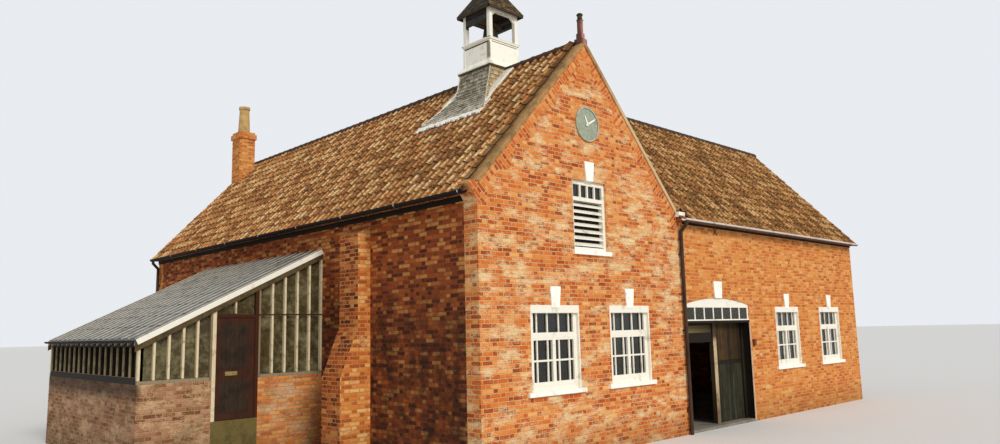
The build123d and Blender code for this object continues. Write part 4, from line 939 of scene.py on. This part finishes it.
def on_right_slope(x, y, z):
    """Whether a point of the main roof lies beside both valleys and clear of the apron."""
    return abs(y - WING_Y) > x and not under_apron(x, y)


def on_wing_front(x, y, z):
    """Whether a point lies past the valley, beside the main walls and round the gable's right foot."""
    return x > WING_Y - y and (y > 0.17 or x > 2.925) and (y > -0.17 or x > 3.17)


pantile = tile_form(GAUGE + LAP)
# The gable's right foot stands in the way of the wing's front slope, which steps round it.
FOOT_CUTS = [((x, 0, 0), (1, 0, 0)) for x in (2.925, 3.17)]
FOOT_CUTS += [((0, y, 0), (0, 1, 0)) for y in (0.17, -0.17)]
# The length of each slope along its eaves.
MAIN, WING_FRONT, WING_REAR = 13.995, 12.364, 12.37
tile_slope("tiles_left", (-edge, 14.176, low_z), (COSINE, 0, SINE), (-SINE, 0, COSINE), MAIN,
           "pantile", APRON_CUTS, lambda x, y, z: not under_apron(x, y), 3)
tile_slope("tiles_right", (edge, 0.175, low_z), (-COSINE, 0, SINE), (SINE, 0, COSINE), MAIN,
           "pantile", VALLEYS + APRON_CUTS, on_right_slope, 4)
tile_slope("tiles_wing_front", (0.0, WING_Y - edge, low_z), (0, COSINE, SINE), (0, -SINE, COSINE), WING_FRONT,
           "mossy_pantile", VALLEYS + FOOT_CUTS, on_wing_front, 5)
tile_slope("tiles_wing_rear", (12.37, WING_Y + edge, low_z), (0, -COSINE, SINE), (0, SINE, COSINE), WING_REAR,
           "mossy_pantile", VALLEYS, lambda x, y, z: x > y - WING_Y, 6)

# A last column laps onto the coping of the gable, a tile's thickness higher, with a ragged dark edge.
VERGE = 0.045
for name, side, first in (("verge_left", -1, 0.185), ("verge_right", 1, -0.03)):
    sheet = repeat(pantile, 1, ROWS, 0.2, GAUGE, "pantile",
                   (0.012, 0.012, 0.004), (0.02, 0.03, 0.02), 15 + side)
    normal = Vector((side * SINE, 0, COSINE))
    lay(sheet, Vector((side * edge, first, low_z)) + normal * VERGE, (-side * COSINE, 0, SINE), normal)
    keep_piece(name, sheet, "pantile")
bpy.data.objects.remove(pantile)

# %% [markdown]
# ## Ridge tiles
# A ridge tile is half round, bedded in mortar, and has a collar at one end that covers the joint. One
# is drawn, and copied along both ridges with a little sway. Under the turret there are none.

# %% Ridge tiles
def ridge_form(length, radius, thick, collar):
    """A half-round ridge tile along Y, open below, with a raised collar at its near end."""
    shape = bmesh.new()
    for y0, y1, grow in ((0.0, 0.06, collar), (0.06, length, 0.0)):
        outer, inner = (round_points(r, 9, -12, 25.5) for r in (radius + grow, radius - thick))
        near, far, under = vertices(shape, [[(x, y0, z) for x, z in outer], [(x, y1, z) for x, z in outer],
                                         [(x, y0, z) for x, z in inner]])
        for i in range(8):
            shape.faces.new((near[i], near[i + 1], far[i + 1], far[i]))
            shape.faces.new((near[i + 1], near[i], under[i], under[i + 1]))
    return shape


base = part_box("ridge_tiles")[1].z - 0.118
main_run = [(0, 0.17 + 0.3252 * i, base, 0) for i in range(43) if not 1.75 < 0.17 + 0.3252 * i < 3.4]
wing_run = [(0.6 + 0.3264 * i, WING_Y, base - 0.005, -90) for i in range(36)]
form = ridge_form(0.335, 0.115, 0.02, 0.012)
ridges = copies_at(form, main_run + wing_run, "ridge_tile", (0.012, 0.02, 0.012), 8)
keep_piece("ridge_courses", ridges, "ridge_tile")

# %% [markdown]
# ## Window bars
# Each window has a fixed light over a pair of casements. Slim glazing bars cut them into five columns,
# narrow at the sides, and the casements have a bar across the middle. A board covers the joint with the
# brickwork over the head, and a bead covers it down the sides. All is drawn once, for a window that
# faces the reader, and copied to all twelve.

# %% Sashes and bars
def sashes():
    """The sashes and glazing bars of one window, with its sill's top at Z = 0."""
    shape = bmesh.new()
    wide, front, back, stile = 0.5625, -0.121, -0.078, 0.034
    # The fixed light and two casements, each as its sides, foot and head, and how deep its rails are.
    for left, right, low, high, foot, head in ((-wide, wide, 1.006, 1.365, 0.0, 0.021),
                                              (-wide, -0.004, 0.075, 0.909, 0.075, 0.038),
                                              (0.004, wide, 0.075, 0.909, 0.075, 0.038)):
        block(shape, (left, front, low), (left + stile, back, high))
        block(shape, (right - stile, front, low), (right, back, high))
        block(shape, (left + stile, front + 0.001, high - head), (right - stile, back, high))
        if foot:
            block(shape, (left + stile, front + 0.001, low), (right - stile, back, low + foot))
    for x in (-0.425, -0.15, 0.15, 0.425):
        for low, high in ((1.006, 1.345), (0.149, 0.872)):
            block(shape, (x - 0.015, front + 0.012, low), (x + 0.015, back, high))
    for left, right in ((-wide + stile, -0.038), (0.038, wide - stile)):
        block(shape, (left, front + 0.008, 0.498), (right, back, 0.532))
    block(shape, (-0.6375, -0.184, 1.346), (0.6375, -0.118, 1.486))
    for middle in (-0.630, 0.630):
        block(shape, (middle - 0.015, -0.178, 0), (middle + 0.015, -0.118, 1.486))
    return shape


SILL = 1.214
# Each window as X, Y and the way it faces, in degrees from the front.
WINDOWS = [(-1.097, 0, 0), (1.097, 0, 0), (7.866, 0, 0), (10.449, 0, 0),
           (7.866, 5.51, 180), (10.449, 5.51, 180), (2.755, 7.78, 90), (2.755, 12.03, 90),
           (-1.097, 13.96, 180), (1.097, 13.96, 180), (12.155, 1.658, 90), (12.155, 3.852, 90)]
bars = copies_at(sashes(), [(x, y, SILL, angle) for x, y, angle in WINDOWS], "white_paint")
keep_piece("window_bars", bars, "white_paint", bevel=0.004)

# %% [markdown]
# ## The louvred vents
# The vent in each gable has three short bars over its louvres, between two rails. Nearly black boards
# stand behind the louvres as painted shade, so the slots show black.

# %% Bars and boards of the vents
GABLES = [(0, 0, 0, 0), (12.155, WING_Y, 0, 90)]
vent, louvre_shade = bmesh.new(), bmesh.new()
for x in (-0.215, 0.0, 0.215):
    block(vent, (x - 0.02, -0.118, 4.74), (x + 0.02, -0.076, 5.02))
for low, high in ((4.682, 4.76), (5.0, 5.03)):
    block(vent, (-0.44, -0.122, low), (0.44, -0.07, high))
for i in range(5):
    block(louvre_shade, (-0.425 + 0.17 * i, -0.016 + 0.003 * (i % 2), 3.80), (-0.258 + 0.17 * i, -0.004, 4.66))
keep_piece("vent_bars", copies_at(vent, GABLES, "white_paint"), "white_paint", bevel=0.004)
keep_piece("vent_screens", copies_at(louvre_shade, GABLES, "dark_wood"), "dark_wood", bevel=0.002)

# %% [markdown]
# ## The turret's slates and tiles
# The skirt of the turret spreads over the ridge like a bell's foot, and is hung with small slates in
# courses. Each course is cut from the skirt's own profile, so the slates follow its curve, and those
# at a corner are cut to the hip. The cap is covered in the same way with darker tiles.

# %% Cladding a four-sided form
# Half the gap between two slates, and the narrowest slate that is still hung.
JOINT, NARROWEST = 0.003, 0.012


def clad(name, profile, sides, gauge, width, finish, lift, thick, seed, cuts=()):
    """Hangs slates on sides 0 front, 1 right, 2 back and 3 left of a profile (z, half x, half y)."""
    chance = random.Random(seed)
    shape = bmesh.new()
    tone, hollow = (shape.verts.layers.float.new(word) for word in ("tone", "hollow"))
    for number in sides:
        out = Vector(((0, -1, 0), (1, 0, 0), (0, 1, 0), (-1, 0, 0))[number])
        run = UP.cross(out)
        line = [(z, hx, hy) if number % 2 else (z, hy, hx) for z, hx, hy in profile]
        marks = [0.0]
        for (z0, a0, _), (z1, a1, _) in zip(line, line[1:]):
            marks.append(marks[-1] + math.hypot(z1 - z0, a1 - a0))

        def at(distance):
            """The height, the reach and the half width at a distance down the profile."""
            distance = min(max(distance, 0.0), marks[-1])
            k = min(i for i in range(1, len(marks)) if distance <= marks[i] + 1e-9)
            share = (distance - marks[k - 1]) / (marks[k] - marks[k - 1])
            return [p + (q - p) * share for p, q in zip(line[k - 1], line[k])]

        rows = round(marks[-1] / gauge)
        step = marks[-1] / rows
        for row in range(rows):
            foot, head = at(marks[-1] - row * step), at(marks[-1] - (row + 1) * step - 0.02)
            up = (out * (head[1] - foot[1]) + UP * (head[0] - foot[0])).normalized()
            stand = up.cross(run) * -1
            if stand.dot(out) < 0:
                stand = -stand
            begin = -foot[2] - (width / 2 if row % 2 else 0) - 0.01
            while begin < foot[2]:
                size = width * chance.uniform(0.85, 1.15)
                span = (begin + JOINT, begin + size - JOINT)
                ends = [min(max(u, -half), half) for half in (foot[2], head[2]) for u in span]
                begin += size
                if ends[1] - ends[0] < NARROWEST:
                    continue
                grade, extra = chance.random(), chance.uniform(0, 0.5) * lift
                foot_shift = stand * (lift + extra) - up * chance.uniform(0, 0.008)
                head_shift = stand * (0.002 + extra)
                corners = []
                for (z, reach, _), u, shift in ((foot, ends[0], foot_shift), (foot, ends[1], foot_shift),
                                                (head, ends[3], head_shift), (head, ends[2], head_shift)):
                    corners.append(TURRET + out * reach + run * u + UP * z + shift)
                under = [point - stand * thick for point in corners[:2]]
                points = [shape.verts.new(point) for point in corners + under]
                # Dirt and painted shade lie at the head of each slate, against the edge of the next course.
                for point, dirt in zip(points, (0.0, 0.0, 1.5, 1.5, 1.6, 1.6)):
                    point[tone], point[hollow] = grade, dirt
                shape.faces.new((points[0], points[1], points[2], points[3]))
                shape.faces.new((points[1], points[0], points[4], points[5]))
    mesh = as_mesh(shape, name, outwards=False)
    if cuts:
        trim(mesh, cuts, over_roof)
    keep_piece(name, mesh, finish)


def over_roof(x, y, z):
    """Whether a point lies over the roof, or less than 20 mm in it."""
    return z > RIDGE - SLOPE * abs(x) - 0.02


SKIRT = [(7.94, 0.490, 0.490), (7.74, 0.520, 0.486), (7.538, 0.572, 0.482), (7.345, 0.652, 0.530),
         (7.122, 0.835, 0.700), (6.915, 1.022, 0.865), (6.790, 1.135, 0.960), (6.735, 1.185, 0.985)]
CAP = [(10.1076, 0.025, 0.025), (9.2876, 0.526, 0.526)]
ROOF_PLANES = [((0, 0, RIDGE - 0.02), (side * SLOPE, 0, 1)) for side in (1, -1)]
# The skirt's left side takes the greyer slate, as painted shade.
for side, sides, finish, seed in (("left", (3,), "slate", 11), ("right", (1,), "warm_slate", 12),
                                  ("front", (0, 2), "warm_slate", 13)):
    clad("skirt_slates_" + side, SKIRT, sides, 0.095, 0.135, finish, 0.014, 0.009, seed, ROOF_PLANES)
clad("turret_tiles", CAP, (0, 1, 2, 3), 0.09, 0.15, "turret_tile", 0.012, 0.010, 14)

# %% [markdown]
# ## Lead on the hips and at the eaves
# A strip of sheet lead covers each corner of the skirt and the cap. It is dressed down flat on both faces
# and left round along the corner. The cap's eaves end in a lead edge too.

# %% Lead of the turret
def hip_roll(name, profile, wing, rise):
    """Lead dressed over each hip: a flat wing on both faces and a roll along the corner."""
    shape = bmesh.new()
    for sx, sy in ((-1, -1), (1, -1), (1, 1), (-1, 1)):
        outward = Vector((sx, sy, 0.6)).normalized()
        section = [(1, 0, 0.004), (1, 0, rise * 0.5), (0.3, 0, rise), (0, 0, rise * 1.9),
                   (0, 0.3, rise), (0, 1, rise * 0.5), (0, 1, 0.004)]
        section = [Vector((-sx * wing * a, -sy * wing * b, 0)) + outward * c for a, b, c in section]
        corners = [TURRET + Vector((sx * hx, sy * hy, z)) for z, hx, hy in profile]
        skin(shape, vertices(shape, [[corner + point for point in section] for corner in corners]))
    return as_mesh(shape, name)


hips = hip_roll("skirt_hips", SKIRT, 0.030, 0.016)
trim(hips, ROOF_PLANES, over_roof)
keep_piece("skirt_hips", hips, "lead")
keep_piece("cap_hips", hip_roll("cap_hips", CAP, 0.045, 0.014), "dark_lead")
eaves = bmesh.new()
for out in (Vector((0, -1, 0)), Vector((1, 0, 0)), Vector((0, 1, 0)), Vector((-1, 0, 0))):
    run = UP.cross(out)
    middle = TURRET + out * 0.520 + UP * 9.268
    beam(eaves, middle - run * 0.534, middle + run * 0.534, out * 0.014, UP * 0.026)
keep_piece("turret_eaves", eaves, "dark_lead", bevel=0.004)

# %% [markdown]
# ## The mortar fillet
# Where the apron's lead ends on the tiles, mortar closes the gap. It was pushed into the hollows of the
# tiles by hand, so its edge is ragged, and it is drawn as short dabs of random width and length.

# %% Fillet at the apron's foot
chance = random.Random(21)
fillet = bmesh.new()
for side in (-1, 1):
    downhill, normal = Vector((side * COSINE, 0, -SINE)), Vector((side * SINE, 0, COSINE))
    y = 1.50
    while y < 3.50:
        wide = chance.uniform(0.035, 0.09)
        head = Vector((side * 1.15, y + wide / 2, RIDGE - SLOPE * 1.15)) + normal * 0.066
        foot = head + downhill * chance.uniform(0.10, 0.20)
        half = wide * chance.uniform(0.42, 0.6)
        beam(fillet, head, foot, (0, half, 0), normal * chance.uniform(0.012, 0.022))
        y += wide
    for end in (-1, 1):
        for x in (0.10 + 0.115 * step for step in range(10)):
            half = max(wide for reach, wide in APRON if reach <= x + 0.06)
            middle = Vector((side * x, TURRET_Y + end * (half + 0.02), RIDGE - SLOPE * x)) + normal * 0.062
            wide = chance.uniform(0.03, 0.055)
            thick = normal * chance.uniform(0.008, 0.014)
            beam(fillet, middle, middle + downhill * 0.17, (0, wide, 0), thick)
keep_piece("apron_fillet", fillet, "lime_fillet", bevel=0.006)

# %% [markdown]
# ## The clock
# A copper dial gone green, with a raised rim. Its marks are plain strokes, longer at the quarters, and
# a boss covers the arbor that carries the hands. The finial's cap, three round steps, is drawn here too.

# %% Dial marks and rim
CLOCK = Vector((0, -0.185, 6.2156))


def ring(shape, centre, thick, inner, outer, steps=48):
    """A flat ring in the XZ plane, whose face looks along -Y."""
    rows = [[centre + Vector((x, y, z)) for x, z in round_points(radius, steps)]
            for radius, y in ((inner, 0), (outer, 0), (outer, thick), (inner, thick))]
    rows = vertices(shape, rows)
    skin(shape, rows + rows[:1], True)


marks, rim, cap = bmesh.new(), bmesh.new(), bmesh.new()
for hour in range(12):
    angle = math.radians(30 * hour)
    spoke = Vector((math.sin(angle), 0, math.cos(angle)))
    beside = Vector((math.cos(angle), 0, -math.sin(angle)))
    first, wide = (0.245, 0.008) if hour % 3 else (0.225, 0.013)
    face = CLOCK - Vector((0, 0.003, 0))
    beam(marks, face + spoke * first, face + spoke * 0.292, beside * wide, (0, 0.004, 0))
ring(marks, CLOCK + Vector((0, -0.004, 0)), 0.005, 0.297, 0.302)
keep_piece("dial_marks", marks, "faded_paint")
ring(rim, CLOCK + Vector((0, -0.017, 0)), 0.015, 0.316, 0.3468)
keep_piece("dial_rim", rim, "dial_lead", bevel=0.004)
for radius, low, high in ((0.050, 8.395, 8.470), (0.064, 8.470, 8.500), (0.052, 8.500, 8.512)):
    prism(cap, [[(x, y - 0.1, z) for x, y in round_points(radius, 20)] for z in (low, high)])
keep_piece("finial_cap", cap, "dark_lead", bevel=0.004)

# %% [markdown]
# ## The bell stage
# The boarded box under the bell has a moulded rail, boards at its corners and a ledge that throws the
# rain off. A smooth board is laid over each plain panel of the solid. A dark line of painted shade runs
# under the rail, and one of moss and painted shade under the ledge; both are thin strips of their own.

# %% Boards and mouldings of the stage
stage, shade_lines = bmesh.new(), bmesh.new()
HALF, BOARD_FOOT = 0.432, 8.004
for sx, sy in ((0, -1), (1, 0), (0, 1), (-1, 0)):
    out, run = Vector((sx, sy, 0)), Vector((abs(sy), abs(sx), 0))
    face = TURRET + out * HALF
    upright(stage, face + out * 0.004, BOARD_FOOT, 8.524, run * (HALF - 0.012), out * 0.005)
    for end in (-1, 1):
        corner = face + run * end * (HALF - 0.03) + out * 0.008
        upright(stage, corner, BOARD_FOOT, 8.480, run * 0.034, out * 0.006)
    upright(stage, face + out * 0.017, 8.594, 8.606, run * (HALF + 0.034), out * 0.017)
    # The drip board leans out over the slates, so it is drawn as a wedge between two levels.
    rows = [[face + out * far + run * (end * (HALF + far)) + UP * z for end in (-1, 1)]
            for far, z in ((0.012, 8.110), (0.108, 7.975), (0.108, 7.950), (0.012, 7.950))]
    rows = vertices(stage, rows)
    skin(stage, rows + rows[:1])
    stage.faces.new([pair[0] for pair in rows])
    stage.faces.new([pair[1] for pair in rows])
    wide = 0.016 if sx else 0.007
    upright(shade_lines, face + out * 0.006, 8.506 - wide, 8.506 + wide, run * (HALF - 0.05), out * 0.006)
    upright(shade_lines, face + out * 0.048, 7.920, 7.950, run * (HALF + 0.095), out * 0.048)
keep_piece("stage_boards", stage, "turret_paint", bevel=0.003)
keep_piece("stage_shadows", shade_lines, "moss_and_shade_line")

# %% [markdown]
# ## The bell
# A bell is cast in bronze, mouth down. Its section is turned on a strickle board, so here too it is drawn
# as a profile and turned about the bell's axis. It takes the place of the plain bell of the solid model
# and swings with the headstock.

# %% A turned bell with its clapper
def turn(shape, profile, centre, steps=40):
    """Turns a profile of (height, radius) pairs about a vertical axis through the centre."""
    rows = [[centre + Vector((x, y, z)) for x, y in round_points(radius, steps)] for z, radius in profile]
    skin(shape, vertices(shape, rows), True)


bell = bmesh.new()
low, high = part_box("bell")
tall = high.z - low.z
axis = Vector(((low.x + high.x) / 2, (low.y + high.y) / 2, low.z))
# Heights are shares of the bell's own height: up the inside, round the lip and up the outside.
SECTION = [(0.935, 0.002), (0.87, 0.118), (0.6, 0.137), (0.25, 0.155), (0.06, 0.172), (0.0, 0.183),
           (0.004 / tall, 0.193), (0.05, 0.1935), (0.14, 0.186), (0.26, 0.178), (0.42, 0.170), (0.6, 0.160),
           (0.76, 0.150), (0.86, 0.137), (0.93, 0.112), (0.965, 0.070), (0.97, 0.002)]
CLAPPER = [(0.06, 0.002), (0.07, 0.022), (0.14, 0.034), (0.21, 0.022), (0.25, 0.009), (0.93, 0.009)]
turn(bell, [(share * tall, radius) for share, radius in SECTION], axis)
turn(bell, [(share * tall, radius) for share, radius in CLAPPER], axis, 16)
for side in (-0.035, 0.035):
    upright(bell, axis + Vector((side, 0, 0)), 0.96 * tall, 0.998 * tall, (0.012, 0, 0), (0, 0.030, 0))
turned = keep_piece("turned_bell", bell, "bronze", "swinging_bell", bevel=0.002)
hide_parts("bell")

# %% [markdown]
# ## The coach doors
# Both leaves are ledged doors of upright boards. The boards are laid over the solid leaf, with narrow
# gaps between them, so that each has an edge of its own. The right leaf is shut and the left one stands
# open against the wall inside, and each rides on its own body.

# %% Boards on the leaves
def boarding(name, low, high, finish, body, spot, run, out, width, slot, board, thick, seed):
    """Upright boards side by side, from a spot along a run, standing out by their thickness."""
    chance = random.Random(seed)
    shape = bmesh.new()
    tone = shape.verts.layers.float.new("tone")
    spot, run, out = Vector(spot), Vector(run), Vector(out)
    count = round(width / board)
    for i in range(count):
        middle = spot + run * ((i + 0.5) * width / count) + out * thick / 2
        before = len(shape.verts)
        foot = low + chance.uniform(0, 0.012)
        head = high - chance.uniform(0, 0.004)
        upright(shape, middle, foot, head, run * (width / count / 2 - 0.003), out * (thick / 2))
        shape.verts.ensure_lookup_table()
        grade = chance.random()
        for vertex in shape.verts[before:]:
            vertex[tone] = grade
    keep_piece(name, shape, finish, body, bevel=0.003)


RIGHT = ("right_coach_leaf", (4.640, 0.065, 0), (1, 0, 0), (0, -1, 0), 1.110, "door_paint", 0.115, 0.010, 1)
LEFT = ("left_coach_leaf", (3.274, 0.145, 0), (0, 1, 0), (1, 0, 0), 1.260, "door_paint", 0.115, 0.010, 1)
for name, low, high, finish, leaf in (("right_boards_high", 1.455, 2.335, "brown_boards", RIGHT),
                                      ("right_boards_low", 0.080, 1.375, "green_boards", RIGHT),
                                      ("left_boards", 0.080, 1.880, "brown_boards", LEFT)):
    boarding(name, low, high, finish, *leaf)
# A rail crosses the right leaf, nearly black as painted shade in the split between its upper and lower
# boards.
keep_blocks("right_leaf_rail", [((4.635, 0.049, 1.368), (5.752, 0.066, 1.462))],
            "dark_wood", "right_coach_leaf", 0.004)

# %% [markdown]
# ## The head of the doorway
# Seven small dusty panes fill the light over the doors. Under them runs a white bead, and under that a
# dark board, the painted shadow of the transom. Dark boards line the brick reveal as painted shade, two
# cross the board over the left leaf, the upper one as the transom's painted shadow, and a pale bead
# covers the reveal's edge.

# %% Panes, beads and dark boards of the doorway
DOORWAY = (3.085, 5.875)
SIDE_POST, MULLION, PANES = 0.06, 0.04, 7
pane = (DOORWAY[1] - DOORWAY[0] - 2 * SIDE_POST - (PANES - 1) * MULLION) / PANES
lefts = [DOORWAY[0] + SIDE_POST + i * (pane + MULLION) for i in range(PANES)]
keep_blocks("overlight_panes", [((x, -0.138, 2.402), (x + pane, -0.133, 2.706)) for x in lefts],
            "dusky_glass")
keep_blocks("overlight_beads", [((3.145, -0.153, 2.670), (5.815, -0.139, 2.712)),
                                ((DOORWAY[0], -0.168, 2.376), (DOORWAY[1], -0.150, 2.406))],
            "white_paint", bevel=0.004)
keep_blocks("doorway_linings", [((DOORWAY[0], -0.160, 2.322), (DOORWAY[1], -0.149, 2.376)),
                                ((3.187, 0.046, 2.275), (4.478, 0.060, 2.354)),
                                ((3.187, 0.044, 1.896), (4.478, 0.060, 2.110)),
                                ((DOORWAY[0], -0.169, 0.02), (3.098, 0.019, 2.354)),
                                ((5.862, -0.169, 0.02), (DOORWAY[1], 0.019, 2.354))],
            "dark_wood", bevel=0.003)
keep_blocks("doorway_edges", [((3.068, -0.184, 0.02), (3.118, -0.169, 2.322)),
                              ((5.838, -0.184, 0.02), (5.896, -0.169, 2.322))],
            "edge_paint", bevel=0.004)

# %% [markdown]
# ## The glasshouse
# The glass of the roof is held under slim bars that run down the slope, and each course of panes laps
# the one below. The bars are painted, and catch more light than the dusty glass. A narrow board covers
# the ends of the laths at each gable end, and its fresh white paint is the brightest line of the house.

# %% Bars, laps and panes of the glasshouse
FOOT_X, FOOT_Z, HEAD_Z, REACH = -6.537, 2.29, 4.06, 3.612
LEAN = (HEAD_Z - FOOT_Z) / REACH
FALL = math.hypot(1, LEAN)
STEEP, SLANT = Vector((-LEAN, 0, 1)) / FALL, Vector((1, 0, LEAN)) / FALL


def on_rake(x, y):
    """The point of the glasshouse rafters' top at X and Y."""
    return Vector((x, y, FOOT_Z + (x - FOOT_X) * LEAN))


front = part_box("glasshouse_roof_glass")[0].y
caps, boards, laps = bmesh.new(), bmesh.new(), bmesh.new()
BARS = 16
for y in (4.7305 + i * (5.722 - 0.045) / BARS for i in range(BARS + 1)):
    foot, head = (on_rake(x, y) + STEEP * 0.013 for x in (-6.59, -2.93))
    beam(caps, foot, head, (0, 0.013, 0), STEEP * 0.007)
for y in (4.677, 10.461):
    foot, head = (on_rake(x, y) - UP * 0.052 for x in (-6.575, -2.935))
    beam(boards, foot, head, STEEP * 0.050, (0, 0.007, 0))
for x in (-6.55 + 0.45 * i for i in range(8)):
    middle = on_rake(x, front + 0.02) + STEEP * 0.012
    beam(laps, middle, middle + Vector((0, 5.68, 0)), SLANT * 0.010, STEEP * 0.003)
keep_piece("roof_bars", caps, "cap_paint", bevel=0.003)
keep_piece("verge_boards", boards, "white_paint", bevel=0.004)
keep_piece("glass_laps", laps, "roof_glass")
keep_blocks("side_panes", [((-6.4745, 4.83, 1.50), (-6.4675, 10.31, 2.14))], "shady_glass")

# %% [markdown]
# ## The glasshouse door
# A framed door with boards above and below a lock rail. The boards are bare and dark and the frame round
# them is red. A small brass plate is worn pale. Over the door a thin red rail runs on along the glazing.

# %% Boards and rails of the glasshouse door
GARDEN = ("glasshouse_leaf", (-5.055, 4.723, 0), (1, 0, 0), (0, -1, 0), 0.53, "red_paint", 0.088, 0.006, 4)
for name, low, high in (("garden_boards_low", 0.86, 1.48), ("garden_boards_high", 1.68, 2.52)):
    boarding(name, low, high, "leaf_boards", *GARDEN)
keep_blocks("worn_plate", [((-4.965, 4.716, 1.55), (-4.725, 4.7235, 1.625))],
            "worn_brass", "glasshouse_leaf", 0.002)
keep_blocks("end_rail", [((-4.315, 4.700, 2.672), (-2.932, 4.709, 2.698))],
            "red_paint", bevel=0.002)
keep_blocks("fan_bar", [((-4.795, 4.709, 2.70), (-4.765, 4.770, on_rake(-4.78, 0).z - 0.10))],
            "bar_paint", bevel=0.002)

# %% [markdown]
# ## Boards behind the gutters
# The gutters hang from a board that is nailed to the feet of the rafters. It is nearly black as painted
# shade under the eaves, and from below it joins with the gutter's own shadow into one dark line; without
# it the eaves look thin.

# %% Dark boards along the eaves
keep_blocks("tarred_boards", [((-2.948, 0.175, 4.452), (-2.926, 14.125, 4.600)),
                              ((3.17, -0.193, 4.500), (12.32, -0.171, 4.600)),
                              ((2.926, 5.84, 4.452), (2.948, 14.125, 4.600)),
                              ((2.95, 5.681, 4.452), (12.32, 5.702, 4.600))],
            "dark_wood", bevel=0.004)

# %% [markdown]
# ## Gutter brackets, a tie plate and a small iron box
# Small things give a wall its scale: the brackets under the gutters, the plate at the end of a tie rod,
# and a rusty box beside the doorway.

# %% Small iron
bracket = bmesh.new()
rows = [[(x, y, z) for x, z in round_points(radius, 7, 180, 30)]
        for radius in (0.068, 0.0655) for y in (-0.012, 0.012)]
outer, outer_far, inner, inner_far = vertices(bracket, rows)
for i in range(6):
    for low, high in ((outer, outer_far), (outer, inner), (outer_far, inner_far)):
        bracket.faces.new((low[i], low[i + 1], high[i + 1], high[i]))
places = [(-3.14, 0.02 + 1.785 * i, 4.588, 0) for i in range(8)]
places += [(3.42 + 0.892 * i, -0.3815, 4.586, 90) for i in range(10)]
brackets = copies_at(bracket, places, "gutter_paint")
keep_piece("gutter_brackets", brackets, "gutter_paint")

iron = bmesh.new()
plate = Vector((4.534, -0.174, 4.424))
for angle in (math.radians(45), math.radians(135)):
    arm = Vector((math.cos(angle), 0, math.sin(angle))) * 0.11
    wide = Vector((-math.sin(angle), 0, math.cos(angle))) * 0.018
    beam(iron, plate - arm, plate + arm, wide, (0, 0.004, 0))
ring(iron, plate + Vector((0, -0.012, 0)), 0.01, 0.0, 0.022, 12)
block(iron, (5.955, -0.23, 1.765), (6.050, -0.17, 1.905))
block(iron, (5.948, -0.236, 1.900), (6.057, -0.17, 1.912))
keep_piece("wall_iron", iron, "rust", bevel=0.003)
